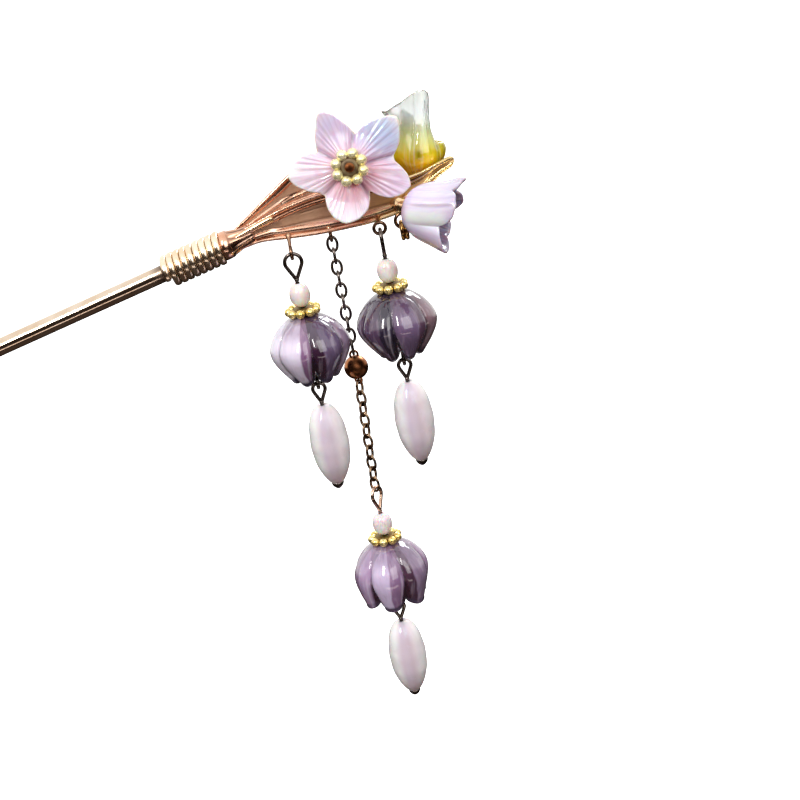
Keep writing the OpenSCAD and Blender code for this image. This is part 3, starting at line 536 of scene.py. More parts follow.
def leaf_skin(table, span, rise, back, seams, gold):
    """A leaf stands in the head's upright plane: its edges follow the table, the trough is a parabola
    across it, rims swell by RIM_LINE, and seams are engraved lines. The plate is golden from the share
    gold of the length."""
    share = np.concatenate([np.linspace(table[0, 0], 0.97, 150), 0.97 + 0.03 * np.linspace(0, 1, 16)[1:]])
    lower, upper, trough = (flowing(share, table[:, 0], table[:, k])[:, None] for k in (1, 2, 3))
    shrink = rounding((1 - share)[:, None] * span / TIP_ROUND, 1 - 0.995 ** 2)
    middle = (lower + upper) / 2 * rise + ROOT[2]
    width = (upper - lower) * rise * shrink
    zone = np.minimum(RIM_ZONE, 0.46 * width)
    line = np.linspace(0, 1, 26) ** 1.25
    across = np.concatenate([line * zone, zone + (width - 2 * zone) * np.linspace(0, 1, 22)[1:-1],
        width - (line * zone)[:, ::-1]], 1)
    q = across / width
    edge = np.minimum(across, width - across) / zone
    half_rim = np.minimum(RIM_D, 0.7 * width) / 2
    half_web = np.minimum(LEAF_WEB / 2, half_rim * 0.6)
    swell = flowing(edge, RIM_LINE[:, 0], RIM_LINE[:, 1])
    half = np.where(edge < 0.8, swell * half_rim,
        half_web + (swell * half_rim - half_web) * (1 - ease((edge - 0.8) / 0.2)))
    # dark is painted shade: in the recesses of the doubled rims, and along the engraved lines below.
    dark = np.interp(edge, RIM_LINE[:, 0], RIM_LINE[:, 2])
    front = half.copy()
    for place, depth, wide, first, last in seams:
        fade = ease((share - first) / 0.05)[:, None] * ease((last - share) / 0.05)[:, None]
        cut = fade * np.exp(-(((q - place) * width) / wide) ** 2)
        front -= depth * cut
        dark = np.maximum(dark, cut * 0.6)
    plain = np.interp(edge, [0, 0.03, 0.1, 0.25, 0.45, 0.8], [0, 0.5, 0.85, 1, 0.95, 0.58]) * half_rim
    behind = np.minimum(half, plain)
    centre = back * np.minimum(1, share * 2)[:, None] + LEAF_TROUGH * trough * 4 * q * (1 - q)
    x = ROOT[0] + share[:, None] * span + 0 * q
    z = middle - width / 2 + across
    front_face = np.stack([x, centre - front, z], -1)
    back_face = np.stack([x, centre + behind, z], -1)[:, -2:0:-1]
    brushed = ease((edge - 0.85) / 0.2)
    golden = ease((share[:, None] - gold) / 0.25) * np.ones_like(q)
    marks = {"shade": dark, "rub": brushed, "gold": golden}
    return skin(HEAD + np.concatenate([front_face, back_face], 1),
        **{key: np.concatenate([value, value[:, -2:0:-1]], 1) for key, value in marks.items()})


def leaf_metal():
    """Copper plate on the leaves: gold to the mark gold, brushed and duller where the mark rub is, and dark
    where the mark shade is: painted shade in recesses, bores and rib troughs, and the lugs' own darker
    tarnish. The brushing is noise drawn out along the leaf."""
    made, shader = finish("leaf_plate", {})
    place = place_on(made)
    hairs = cloud(made, drawn_out(made, place, 0.16, 1, 1), 9000, 3)
    slow = drift(made, place, 380, 3, 0.5)
    rub, gold, shade = mark(made, "rub"), mark(made, "gold"), mark(made, "shade")
    rim = mixed(made, gold, mixed(made, slow, (250, 208, 182), (232, 176, 144)), (250, 224, 166))
    field = mixed(made, gold, mixed(made, slow, (216, 168, 134), (236, 190, 156)), (255, 206, 130))
    field = mixed(made, spread(made, hairs, 0, 0.4), field, (160, 112, 80))
    # The mark shade in clouds: painted shade in recesses, bores and rib troughs, and the lugs' tarnish.
    mottled = joined(made, shade, spread(made, cloud(made, place, 1400, 3), 0.8, 1.08), clamp=True)
    colour = mixed(made, mottled, mixed(made, rub, rim, field), (62, 26, 12))
    rough = joined(made, spread(made, rub, 0.14, 0.4), spread(made, hairs, -0.03, 0.1), "ADD")
    relief = bumps(made, 0.3, 0.00003, hairs)
    link(made, shader, Base_Color=colour, Roughness=rough, Normal=relief,
        Metallic=spread(made, rub, 1, 0.4))
    return made


def cup(at, aim, bore_r, outer_r, depth, floor):
    """Turned cup at its mouth, open along aim: out over its round lip and down the bore to its floor."""
    length = depth + floor
    stations = [-length, -length + 0.05, -length + 0.2, -length + 0.5, -0.7, -0.3, -0.12, -0.03, 0, -0.02,
        -0.1, -0.3, -depth + 0.1, -depth]
    radii = [0.2, outer_r * 0.55, outer_r * 0.78, outer_r * 0.9, outer_r * 0.93, outer_r * 0.97, outer_r,
        outer_r * 0.98, (outer_r + bore_r) / 2, bore_r * 1.08, bore_r, bore_r, bore_r, bore_r * 0.9]
    # Painted shade down the bore, and a little at the cup's foot.
    shade = [0.3, 0.2, 0.1, 0, 0, 0, 0, 0, 0, 0.3, 0.8, 1, 1, 1]
    return lathe(stations, radii, HEAD + np.asarray(at), aim, 36, shade=shade, gold=[0.6] * 14)


def back_from(at, aim, distance):
    """The point a distance back from at, against the aim."""
    return at - unit(aim) * distance


CONE_START = 10
# Columns: station along the head, half height, half width, darkness, which is painted shade where the
# tube hides in the wrap, behind the collar and at the step after it
ROOT_LINE = np.array([[4.86, 1.02, 1.02, 1], [8.0, 1.02, 1.02, 1], [8.05, 1.26, 1.26, 0.6],
    [9.1, 1.28, 1.28, 0.5], [9.16, 1.7, 1.7, 0.3], [9.19, 1.9, 1.9, 0], [9.3, 2.0, 2.0, 0],
    [9.6, 2.0, 2.0, 0], [10.0, 1.94, 1.9, 0.1], [10.15, 1.8, 1.7, 0.4], [10.3, 1.74, 1.6, 0.2],
    [10.7, 1.62, 1.36, 0.1], [11.2, 1.5, 1.12, 0.1], [11.8, 1.42, 0.94, 0.1], [12.4, 1.38, 0.82, 0.1],
    [13.0, 1.3, 0.72, 0.1], [13.6, 1.1, 0.6, 0.1]])


def gathered_root():
    """The spray's root: a tube over the tenon, a collar behind the wrap, and a cone whose oval section
    flattens into the leaves with nine ribs, as if their rims were gathered. With a and b its half height
    and half width, its radius is a b over the root of (b cos) squared plus (a sin) squared. The collar's
    back follows the last turn of the wire, which ends at WIRE_END."""
    station, a, b, dark = (ROOT_LINE[:, k:k + 1] for k in range(4))
    angle = circle(72)
    ribbed = ease((station - CONE_START) / 0.6)
    behind_end = (np.degrees(angle) - WIRE_END) % 360 / 360
    follow = np.clip((CONE_START - station) / 0.6, 0, 1) * (station > 9)
    run = station - follow * PITCH * behind_end * (1 - ease((behind_end - 0.94) / 0.06))
    rib = np.cos(9 * angle + 0.8 * np.sin(2 * angle))
    radii = a * b / np.sqrt((b * np.cos(angle)) ** 2 + (a * np.sin(angle)) ** 2) * (1 + 0.06 * ribbed * rib)
    # Painted shade in the troughs between the ribs.
    shade = np.clip(dark + 0.8 * ribbed * np.clip(-rib, 0, 1), 0, 1)
    return lathe(run, radii, HEAD, ALONG, 72, shade=shade, gold=np.full(len(station), -0.2))


PETAL_LEAN = math.radians(10)
PETAL_AIM = np.array([0, -math.cos(PETAL_LEAN), math.sin(PETAL_LEAN)])
PETAL_AT = np.array([27.8, -3.2, 10.5])
YELLOW_AT = np.array([36.8, 4, 5])
YELLOW_AIM = np.array([0.16, 0.05, 0.985])
LAVENDER_AT = np.array([34.5, -4.9, 4.15])
LAVENDER_AIM = np.array([0.7, -0.67, -0.23])
CUP_DEPTH = 1.4
CUP_FLOOR = 0.5
PIN_BORE_R = 0.5
CUP_R = 0.95
ARM_R = 0.6
LUG_R = 0.8
WIDE_LUG_R = 1.0
LUG_WIRE_R = 0.25
LEFT_LUG = np.array([17.8, -1.7, -0.025])
RIGHT_LUG = np.array([30.3, -1.7, 1.125])
CHAIN_LUG = np.array([23.45, 2.35, 0.475])
WIDE_LUG = np.array([33.6, 0, 1.2])
spray = [
    leaf_skin(LOWER_LEAF, LOWER_SPAN, LOWER_RISE, 0, LOWER_SEAMS, 0.5),
    leaf_skin(UPPER_LEAF, UPPER_SPAN, UPPER_RISE, UPPER_BACK, UPPER_SEAMS, 0.62),
    gathered_root()]
t = np.linspace(0, 1, 24)
stem_ends = ROOT + np.array([[0.2, -0.45, 0.3], [6.93, -0.7, 2.67]])
stem_bow = np.array([0, -0.12, 0.1]) * np.sin(np.pi * t)[:, None]
spray.append(wire(HEAD + stem_ends[0] + (stem_ends[1] - stem_ends[0]) * t[:, None] + stem_bow,
    0.36 + 0.09 * t, (0, 1, 0), 20, gold=0.1 + 0.3 * t))
# Columns: middle, way across the ring, its radius, side of the leaf that the neck joins as -1 for the
# front and 1 for the back, and how far the neck goes up over the leaf's edge
LUGS = [(LEFT_LUG, ACROSS, LUG_R, -1, 0.54), (RIGHT_LUG, RIGHTWARD, LUG_R, -1, 0.54),
    (CHAIN_LUG, ACROSS, LUG_R, 1, 0.54), (WIDE_LUG, RIGHTWARD, WIDE_LUG_R, 0, 0.72)]
for middle, across, lug_r, neck_side, over in LUGS:
    spray.append(hoop(HEAD + middle, lug_r, LUG_WIRE_R, across, shade=0.8, gold=0.2))
    share = (middle[0] - ROOT[0]) / LOWER_SPAN
    edge_z = ROOT[2] + LOWER_RISE * flowing(share, LOWER_LEAF[:, 0], LOWER_LEAF[:, 1])
    top = middle + lug_r * UP
    foot = np.array([middle[0], neck_side * 0.24, edge_z + over])
    spray.append(wire(HEAD + top + (foot - top) * np.linspace(-0.1, 1, 14)[:, None],
        0.24 + 0.2 * np.linspace(0, 1, 14) ** 4, (1, 0.01, 0), 16, shade=np.linspace(0.8, 0.3, 14),
        gold=0.2))
PETAL_FOOT = np.array([27.084, UPPER_BACK + LEAF_TROUGH * 0.33 * 0.91, ROOT[2] + UPPER_RISE * 0.63])
# Columns: a flower's place and aim, how far its cup's mouth stands back from there, foot of the cup's arm
CUPS = [(PETAL_AT, PETAL_AIM, 1.2, PETAL_FOOT), (YELLOW_AT, YELLOW_AIM, 0.16, np.array([34.6, 0.66, 4.0])),
    (LAVENDER_AT, LAVENDER_AIM, 0.16, np.array([32.9, 0.6, 3.65]))]
for at, aim, stand, foot in CUPS:
    mouth = back_from(at, aim, stand)
    spray.append(cup(mouth, aim, PIN_BORE_R, CUP_R, CUP_DEPTH, CUP_FLOOR))
    start = back_from(mouth, aim, CUP_DEPTH + CUP_FLOOR - 0.3)
    arm_r = ARM_R * (0.94 + 0.12 * (2 * t - 1) ** 2)
    spray.append(wire(HEAD + start + (foot - start) * t[:, None], arm_r, (1, 0.1, 0.2), 20, gold=0.6,
        shade=0.1))
piece("leaf_spray", spray, leaf_metal(), "root", "copper", "leaf_spray")


# The petal flower: five pointed petals moulded in one piece and washed from salmon over pink and
# lavender to icy blue, under a clear gloss. It faces the front on a pin through its middle.

PETAL_REACH = 9.3
PETAL_NOTCH = 4.3
PETAL_HUB_T = 1.6
PETAL_EDGE_T = 0.5
PETAL_ROUND = 0.3
PETAL_WAYS = 480
# Columns: direction of the tip in degrees from the right, share of the reach, bend of the tip
PETALS = np.array([[37, 1, 0.5], [109, 0.88, 0.7], [179, 0.88, 0.6], [256, 0.82, 0.9], [332, 0.93, -0.2]])
# The outline, no two petals alike. Columns: direction in degrees, distance from the middle in millimetres
PETAL_EDGE = np.array([[4, 6.0], [15, 7.3], [28, 8.5], [36, 9.2], [42, 8.6], [50, 7.3], [60, 6.0],
    [68, 4.5], [75, 4.8], [89, 6.1], [99, 7.5], [106, 8.2], [111, 8.2], [121, 6.8], [135, 5.5], [146, 4.7],
    [152, 5.7], [159, 6.8], [168, 7.7], [179, 8.3], [187, 7.8], [198, 6.6], [210, 5.3], [219, 5.0],
    [231, 6.2], [243, 7.1], [256, 7.5], [270, 7.0], [284, 6.1], [293, 4.9], [300, 4.1], [305, 5.3],
    [313, 6.9], [323, 8.0], [333, 8.6], [342, 7.9], [350, 6.9], [357, 6.1]])
PETAL_AXES = np.array([[1, 0, 0], [0, math.sin(PETAL_LEAN), math.cos(PETAL_LEAN)], PETAL_AIM])
# Colours at shares of the reach: all petals begin with the heart's, and each has its own row after it
PETAL_STEPS = [0, 0.3, 0.55, 0.8, 1]
PETAL_HEART = (214, 140, 140)
PETAL_TONES = [
    [(222, 190, 214), (202, 206, 236), (206, 218, 242), (248, 250, 252)],
    [(232, 196, 216), (224, 206, 232), (220, 210, 238), (236, 228, 246)],
    [(240, 200, 214), (242, 220, 234), (244, 228, 242), (248, 240, 248)],
    [(244, 172, 182), (246, 204, 218), (248, 226, 238), (252, 242, 248)],
    [(230, 164, 178), (226, 188, 206), (228, 204, 226), (242, 228, 238)]]


def placed(points, at, axes):
    """Points of a local frame in the model's: its origin at a point of the head and its x, y and z
    along the three rows of axes."""
    return HEAD + np.asarray(at) + points @ np.asarray(axes)


def toned(share, stations, tones):
    """Smooth run of screen colours along a share, as linear light."""
    return flowing(share, stations, [tone(*colour) for colour in tones])


def nearest_petal(way, tips):
    """For each direction, with the directions of the tips: its petal, the next one on its side, its
    angle past its petal's tip, and off, that angle over half the angle between the two tips."""
    past = (way[:, None] - tips + 180) % 360 - 180
    own = np.argmin(np.abs(past), 1)
    past = past[np.arange(len(way)), own]
    other = (own + np.where(past >= 0, 1, -1)) % len(tips)
    half_gap = np.abs((tips[other] - tips[own] + 180) % 360 - 180) / 2
    return own, other, past, np.clip(np.abs(past) / half_gap, 0, 1)


def petal_grid():
    """The flower's two faces over a grid of directions and distances. The reach follows PETAL_EDGE,
    smoothed over three degrees; off runs from 0 at a petal's tip to 1 half way to its neighbour. The
    face rises as a dish, dips in the creases between petals and bends at the tips, and its last third
    of a millimetre rounds over the edge."""
    way = np.arange(PETAL_WAYS) * 360 / PETAL_WAYS
    own, other, past, off = nearest_petal(way, PETALS[:, 0])
    blend = 0.5 * off ** 3
    share, bend = (PETALS[own, k] * (1 - blend) + PETALS[other, k] * blend for k in (1, 2))
    reach = np.interp(way, PETAL_EDGE[:, 0], PETAL_EDGE[:, 1], period=360)
    reach = np.mean([np.roll(reach, k) for k in range(-2, 3)], 0)
    inner = np.linspace(0, 1, 40)[:, None] ** 0.9
    rim = np.array([0.24, 0.18, 0.12, 0.07, 0.03, 0.01, 0])[:, None]
    radius = np.vstack([0.5 + (reach - 0.8) * inner, reach - rim])
    left = reach - radius
    out = radius / (PETAL_REACH * share)
    dish = PETAL_HUB_T * (0.35 * ease(out * 1.6) + bend * out ** 2 * (1 - 0.5 * off))
    crown = 0.35 * np.sin(np.pi * np.minimum(1, out)) * (1 - off ** 2)
    from_crease = (1 - off) * radius * 0.63
    crease = 0.32 * np.exp(-(from_crease / 0.35) ** 2) * ease((radius - 2.2) / 1.2)
    ribs = 0.035 * np.sin(np.radians(way * 40) + 2 * np.sin(np.radians(way * 9)))
    ribs = ribs * ease((out - 0.2) / 0.2) * ease((1.02 - out) / 0.3) * (1 - off ** 4)
    thick = PETAL_EDGE_T + (PETAL_HUB_T - PETAL_EDGE_T) * (1 - ease((radius / PETAL_NOTCH - 0.35) / 0.8))
    rounded = rounding(left / PETAL_ROUND)
    base = dish + crown
    front = base + thick / 2 + thick / 2 * rounded - (crease - ribs) * rounded
    back = base + thick / 2 - thick / 2 * rounded
    x, y = radius * np.cos(np.radians(way)), radius * np.sin(np.radians(way))
    faces = np.concatenate([np.stack([x, y, front], -1), np.stack([x, y, back], -1)[-2::-1]])
    colour = np.zeros(radius.shape + (3,))
    for k in range(len(PETALS)):
        weight = np.where(own == k, 1 - blend, 0) + np.where(other == k, blend, 0)
        shades = toned(np.clip(out, 0, 1), PETAL_STEPS, [PETAL_HEART, *PETAL_TONES[k]])
        colour += weight[None, :, None] * shades
    # Painted shade along the creases between the petals.
    colour *= 1 - 0.4 * np.exp(-(from_crease / 0.22) ** 2)[..., None]
    edge = ease(1 - left / 0.34)
    colour, edge = (np.concatenate([value, value[-2::-1]]) for value in (colour, edge))
    return placed(faces, PETAL_AT, PETAL_AXES), colour, edge


def petal_glass():
    """Moulded petals: the tint kept on the points, broken by fine veins that run out from the middle,
    a soft glow under the surface, a faint film of colour and a clear coat."""
    made, shader = finish("petal_gloss", {"Subsurface Weight": 0.35, "Subsurface Scale": 0.0012,
        "Coat Weight": 1.0, "Coat Roughness": 0.04, "Thin Film Thickness": 360.0, "Thin Film IOR": 1.36})
    map_place = place_on(made, "UV")
    tint = tinted(made)
    veins = cloud(made, drawn_out(made, map_place, 150, 2.5, 1), 1, 3)
    streaks = spread(made, cloud(made, drawn_out(made, map_place, 26, 3, 1), 1, 2, 0.3), 0, 1, 0.52, 0.72)
    colour = mixed(made, spread(made, veins, 0, 0.3, 0.42, 0.68), tint, (190, 144, 172), "MULTIPLY")
    colour = mixed(made, spread(made, streaks, 0, 0.65), colour, (252, 248, 252))
    colour = mixed(made, spread(made, mark(made, "edge"), 0, 0.7), colour, (250, 238, 214))
    relief = bumps(made, 0.35, 0.00006, veins)
    link(made, shader, Base_Color=colour, Roughness=spread(made, veins, 0.14, 0.3), Normal=relief)
    return made


petal_points, petal_tint, petal_edge = petal_grid()
piece("petal_flower", [skin(petal_points, loop=True, tint=petal_tint, edge=petal_edge)], petal_glass(),
    "root", "pink_glass", "petal_flower")


# The flower's spacer and pin: a daisy spacer of eight cast balls on a web, plated pale gold, with painted
# shade on the web between its balls, and a wire with a small domed copper head that holds flower and
# spacer in the cup.

SPACER_WEB = 0.9
SPACER_BALL_R = 0.625
SPACER_RING_R = 1.975
CREAM_BALL_R = 0.76
CREAM_RING_R = 1.85
FLOWER_TOP = 2.0


def ball(middle, radius, axis=(0, 0, 1), rows=14, columns=24, squash=1.0, **marks):
    """Small sphere, closed at both poles."""
    lean = np.linspace(0.02, np.pi - 0.02, rows)
    return lathe(-np.cos(lean) * radius * squash, np.sin(lean) * radius, middle, axis, columns,
        **{key: np.full(rows, value) for key, value in marks.items()})


def daisy(middle, axes, balls, ring_r, ball_r):
    """Daisy spacer: a web drilled for the pin, with balls round it. axes are its x, y and its own axis."""
    axes = np.asarray(axes, float)
    rim = ring_r - 0.8 * ball_r
    # Columns: height, radius, darkness, which is painted shade on the web between and under the balls
    line = np.array([[-0.45, 0.55, 0.95], [-0.45, rim - 0.3, 0.9], [-0.4, rim - 0.12, 0.95], [-0.3, rim, 1],
        [0.3, rim, 1], [0.4, rim - 0.12, 0.95], [0.45, rim - 0.3, 0.9], [0.45, 0.55, 0.95], [0.4, 0.5, 1],
        [-0.4, 0.5, 1]])[..., None]
    flat = line[:, 1:2] * turned(circle(48), axes[0], axes[1])
    web = skin(HEAD + middle + flat + line[:, :1] * axes[2], loop=True, shade=line[:, 2] * np.ones(48))
    spots = turned(2 * np.pi * (np.arange(balls) + 0.5) / balls, axes[0], axes[1])
    return [web] + [ball(HEAD + middle + ring_r * spot, ball_r, axes[2], 16, 26, shade=0.0)
        for spot in spots]


gold_plate = plating("pale_gold", (255, 238, 170), (246, 214, 120), (96, 66, 14), 0.2, 0.12, 0.8)
copper_plate = plating("dark_copper", (176, 110, 66), (120, 70, 40), (40, 18, 8), 0.3, 0.12)
cream_plate = plating("cream_gold", (255, 249, 206), (252, 236, 170), (76, 40, 14), 0.26, 0.12, 0.6)
spacer_at = PETAL_AT + PETAL_AXES[2] * (FLOWER_TOP + SPACER_BALL_R)
piece("flower_spacer", daisy(spacer_at, PETAL_AXES, 8, CREAM_RING_R, CREAM_BALL_R), cream_plate, "root",
    "gold", "flower_spacer")

PIN_HEAD_Z = FLOWER_TOP + SPACER_BALL_R + SPACER_WEB / 2 + 0.06 + 0.425
PIN_R = 0.4
dome = np.radians(np.array([0, 12, 25, 40, 55, 70, 82]))
pin_s = np.concatenate([[-2.5, -2.45], PIN_HEAD_Z - np.array([0.45, 0.43, 0.36, 0.2]),
    PIN_HEAD_Z + 0.42 * np.sin(dome)])
pin_r = np.concatenate([[0.3, PIN_R, PIN_R, 0.5, 0.62, 0.65], 0.66 * np.cos(dome)])
# Painted shade on the shank under the head; the dome is also darker towards its top.
pin_dark = np.concatenate([np.full(6, 0.5), [0.2, 0, 0, 0, 0.5, 0.9, 1]])
piece("flower_pin", [lathe(pin_s, pin_r, HEAD + PETAL_AT, PETAL_AIM, 36, shade=pin_dark)],
    copper_plate, "root", "dark_copper", "flower_pin")


# The yellow bell flower: pressed glass, amber at its base, lime yellow in the middle and clear smoky grey
# at its five uneven petals. It opens upwards behind the leaves, on a pin with a ball head inside it.

YELLOW_LEN = 13.0
YELLOW_R = 3.1
FLOWER_WALL = 0.9
FLOWER_LIP = 0.28
FLOWER_BORE_R = 0.5
FLOWER_WAYS = 300
# Columns: share of the height, share of the radius
YELLOW_LINE = np.array([[0, 0.2], [0.02, 0.25], [0.08, 0.46], [0.16, 0.76], [0.25, 1.04], [0.34, 1.10],
    [0.44, 0.98], [0.55, 0.78], [0.68, 0.66], [0.82, 0.60], [0.92, 0.62], [1, 0.66]])
# Columns: direction from the front, share of the length, flare of the tip, notch after it, bluntness
YELLOW_PETALS = np.array([[22, 1, 0.16, 0.46, 0.4], [90, 0.44, 0.18, 0.44, 0.5], [159, 0.60, 0.1, 0.6, 0.6],
    [231, 0.76, 0.35, 0.72, 0.6], [292, 0.79, 1.2, 0.97, 1.5]])


def aim_axes(aim, turned_back=False):
    """x, y and z of a flower that opens along aim: its x leans down towards aim's foot and y is level."""
    aim = unit(aim)
    lean, turn = math.acos(aim[2]), math.atan2(aim[1], aim[0])
    x = np.array([math.cos(lean) * math.cos(turn), math.cos(lean) * math.sin(turn), -math.sin(lean)])
    y = np.array([-math.sin(turn), math.cos(turn), 0])
    if turned_back:
        x, y = math.cos(turn) * x - math.sin(turn) * y, math.sin(turn) * x + math.cos(turn) * y
    return np.stack([x, y, aim])


def from_front(way, radius, height):
    """Points about an upright axis, their directions counted in degrees from the front to the right."""
    return np.stack([radius * np.sin(np.radians(way)), -radius * np.cos(np.radians(way)), height], -1)


def bell_grid(line, petals, span, radius, crease):
    """A bell flower's wall over directions and shares of the height. A petal's reach goes from its tip
    to the notches beside it as the cosine of 90 degrees times off, to the power of its bluntness; the
    wall folds in by crease between petals, flares at the tips, has a low keel along each petal and a
    rounded lip. Rows run up the outside and down the inside."""
    way = np.arange(FLOWER_WAYS) * 360 / FLOWER_WAYS
    own, other, past, off = nearest_petal(way, petals[:, 0])
    notch = np.where(past >= 0, petals[own, 3], petals[(own - 1) % len(petals), 3])
    reach = notch + (petals[own, 1] - notch) * np.cos(np.pi / 2 * off) ** petals[own, 4]
    reach *= 1 - 0.008 * np.sin(np.radians(way * 17)) * (1 - off)
    up = np.concatenate([[0], np.linspace(0.012, 0.97, 46), [0.98, 0.988, 0.994, 0.998, 1.0]])
    down = np.concatenate([[0.998, 0.994, 0.988, 0.98], np.linspace(0.965, 0.14, 26), [0]])
    u = np.concatenate([up, down])[:, None]
    inside = np.concatenate([0 * up, 0 * down + 1])[:, None] * np.ones(FLOWER_WAYS)
    s = u * reach
    flare = petals[own, 2] * (1 - off ** 2) * radius * u ** 3
    fold = 1 - crease * ease((s - 0.2) / 0.4) * off ** 3
    keel = 0.05 * radius * np.exp(-(off / 0.09) ** 2) * ease((u - 0.2) / 0.3) * ease((1 - u) / 0.15)
    base = radius * flowing(s, line[:, 0], line[:, 1]) * fold + flare
    half_wall = FLOWER_WALL * (0.6 + 0.4 * (1 - u)) / 2
    lip = rounding((1 - u) * reach * span / FLOWER_LIP)
    r = base - half_wall + np.where(inside, -half_wall * lip - 0.6 * keel, half_wall * lip + keel)
    r = np.maximum(r, FLOWER_BORE_R)
    r[[0, -1]] = FLOWER_BORE_R
    z = np.where(inside, np.maximum(span * s, FLOWER_WALL), span * s)
    return from_front(way, r, z), way + 0 * r, off + 0 * r, inside, z / span


def near(way, middle, width):
    """1 at a direction, falling off on both sides as exp of minus the square of degrees over width."""
    return np.exp(-(((way - middle + 180) % 360 - 180) / width) ** 2)


def stroke(way, share, middle, width, amount, start, soft, stop=9, soft_stop=1):
    """How much of a stroke's colour lies at each point: the amount near a direction, from the share start
    of the height to the share stop, both ends drawn out softly over a share of their own."""
    length = ease((share - start) / soft) * ease((stop - share) / soft_stop)
    return amount * near(way, middle, width) * length


def glazed(tint, *layers):
    """Lays colours over a tint: each layer is its amount at every point, and its screen colour."""
    for amount, colour in layers:
        tint = tint * (1 - amount[..., None]) + np.array(tone(*colour)) * amount[..., None]
    return tint


def flower_glass(name, glow, clear, rough):
    """Pressed glass over the tint kept on the points: strokes drawn out along the wall by the mark
    stroke, a glow under the surface, some light let through where the mark thin is, and a clear coat."""
    made, shader = finish(name, {"Subsurface Weight": glow, "Subsurface Scale": 0.0015, "Coat Weight": 1.0,
        "Coat Roughness": 0.03, "IOR": 1.5, "Roughness": rough})
    tint = tinted(made)
    lines = cloud(made, drawn_out(made, place_on(made, "UV"), 46, 2.2, 1), 1, 3, 0.2)
    colour = mixed(made, spread(made, lines, 0, 0.55, 0.5, 0.66), tint,
        mixed(made, 0.6, tint, tint, "MULTIPLY"))
    colour = mixed(made, spread(made, lines, 0.35, 0, 0.3, 0.46), colour, (248, 246, 240))
    link(made, shader, Base_Color=colour, Normal=bumps(made, 0.2, 0.00006, lines),
        Transmission_Weight=joined(made, mark(made, "thin"), clear))
    return made


points, way, off, inside, share = bell_grid(YELLOW_LINE, YELLOW_PETALS, YELLOW_LEN, YELLOW_R, 0.14)
yellow_tint = toned(share, [0, 0.12, 0.27, 0.38, 0.50, 0.62, 1],
    [(208, 146, 0), (232, 176, 0), (240, 200, 14), (232, 216, 56), (228, 230, 130), (226, 230, 204),
    (214, 218, 214)])
# Glazes: painted shade in olive down one side, two dark olive lines with a pale yellow one between them,
# painted shade between the petals at mid height, a grey tip on the tall petal, and painted shade low
# inside.
yellow_tint = glazed(yellow_tint,
    (stroke(way, share, 300, 20, 0.45, 0.3, 0.15, 0.8, 0.3), (128, 130, 84)),
    (stroke(way, share, 356, 9, 0.65, 0.27, 0.05, 0.42, 0.06), (126, 112, 24)),
    (stroke(way, share, 52, 8, 0.6, 0.36, 0.03, 0.44, 0.03), (110, 104, 40)),
    (stroke(way, share, 20, 5, 0.5, 0.22, 0.05, 0.32, 0.05), (250, 226, 90)),
    (off ** 4 * 0.3 * ease((share - 0.1) / 0.2) * ease((0.7 - share) / 0.2), (140, 128, 50)),
    (stroke(way, share, 34, 9, 0.7, 0.9, 0.07), (128, 138, 140)),
    (inside * 0.3 * ease((0.6 - share) / 0.3), (150, 130, 30)))
points = placed(points, YELLOW_AT, aim_axes(YELLOW_AIM, True))
piece("yellow_bell", [skin(points, loop=True, tint=yellow_tint, thin=ease((share - 0.3) / 0.4))],
    flower_glass("yellow_pressed_glass", 0.3, 0.72, 0.1), "root", "yellow_glass", "yellow_bell")


PIN_BALL_R = 0.54


def flower_wire(at, aim):
    """Pin from the cup's bore to a small ball head on the flower's floor."""
    lean = np.linspace(0.62, np.pi - 0.02, 12)
    stations = np.concatenate([[-1.46, -1.4, 0.9, 1.35], 1.8 - PIN_BALL_R * np.cos(lean)])
    radii = np.concatenate([[0.3, PIN_R, PIN_R, PIN_R], PIN_BALL_R * np.sin(lean)])
    # Painted shade on the wire down in the cup's bore and inside the flower.
    shade = np.concatenate([[0.8, 0.8, 0.5, 0.5], np.full(12, 0.05)])
    return lathe(stations, radii, HEAD + at, aim, 28, shade=shade)


piece("yellow_bell_pin", [flower_wire(YELLOW_AT, YELLOW_AIM)], gold_plate, "root", "gold",
    "yellow_bell_pin")


# The lavender bell flower: pearly lilac glass, with a painted white highlight down its front and painted
# grey violet shade inside it. It opens to the lower right in front of the leaves, on the same kind of pin.

LAVENDER_LEN = 8.2
LAVENDER_R = 4.0
LAVENDER_END_AIM = np.array([0.93, -0.33, -0.04])
LAVENDER_LINE = np.array([[0, 0.2], [0.03, 0.34], [0.10, 0.62], [0.22, 0.84], [0.40, 0.94], [0.55, 0.98],
    [0.70, 1.0], [0.85, 1.04], [1, 1.10], [1.3, 1.2]])
LAVENDER_PETALS = np.array([[58, 0.78, 0.4, 0.66, 0.25], [128, 0.66, 0.1, 0.5, 0.6],
    [196, 0.94, -0.1, 0.66, 0.6], [266, 1.13, 0.02, 0.92, 0.4], [328, 1.05, 0, 0.72, 0.5]])


def bent(points, at, start, end, span):
    """Places a flower whose middle line leaves along the start axes and bends to the end axes: its
    run is height times the mean of the two aims, weighted by half the height's share, and its sides
    turn from the start's to the end's with that share."""
    share = points[..., 2:] / span
    bend = ease(share * 0.9 + 0.05)
    sides = [unit(start[k] * (1 - bend) + end[k] * bend) for k in (0, 1)]
    run = points[..., 2:] * (start[2] * (1 - share / 2) + end[2] * share / 2)
    return HEAD + at + points[..., :1] * sides[0] + points[..., 1:2] * sides[1] + run


points, way, off, inside, share = bell_grid(LAVENDER_LINE, LAVENDER_PETALS, LAVENDER_LEN, LAVENDER_R, 0.07)
lavender_tint = toned(share, [0, 0.2, 0.5, 0.8, 1.2],
    [(204, 182, 220), (220, 204, 234), (226, 214, 238), (226, 214, 238), (206, 192, 218)])
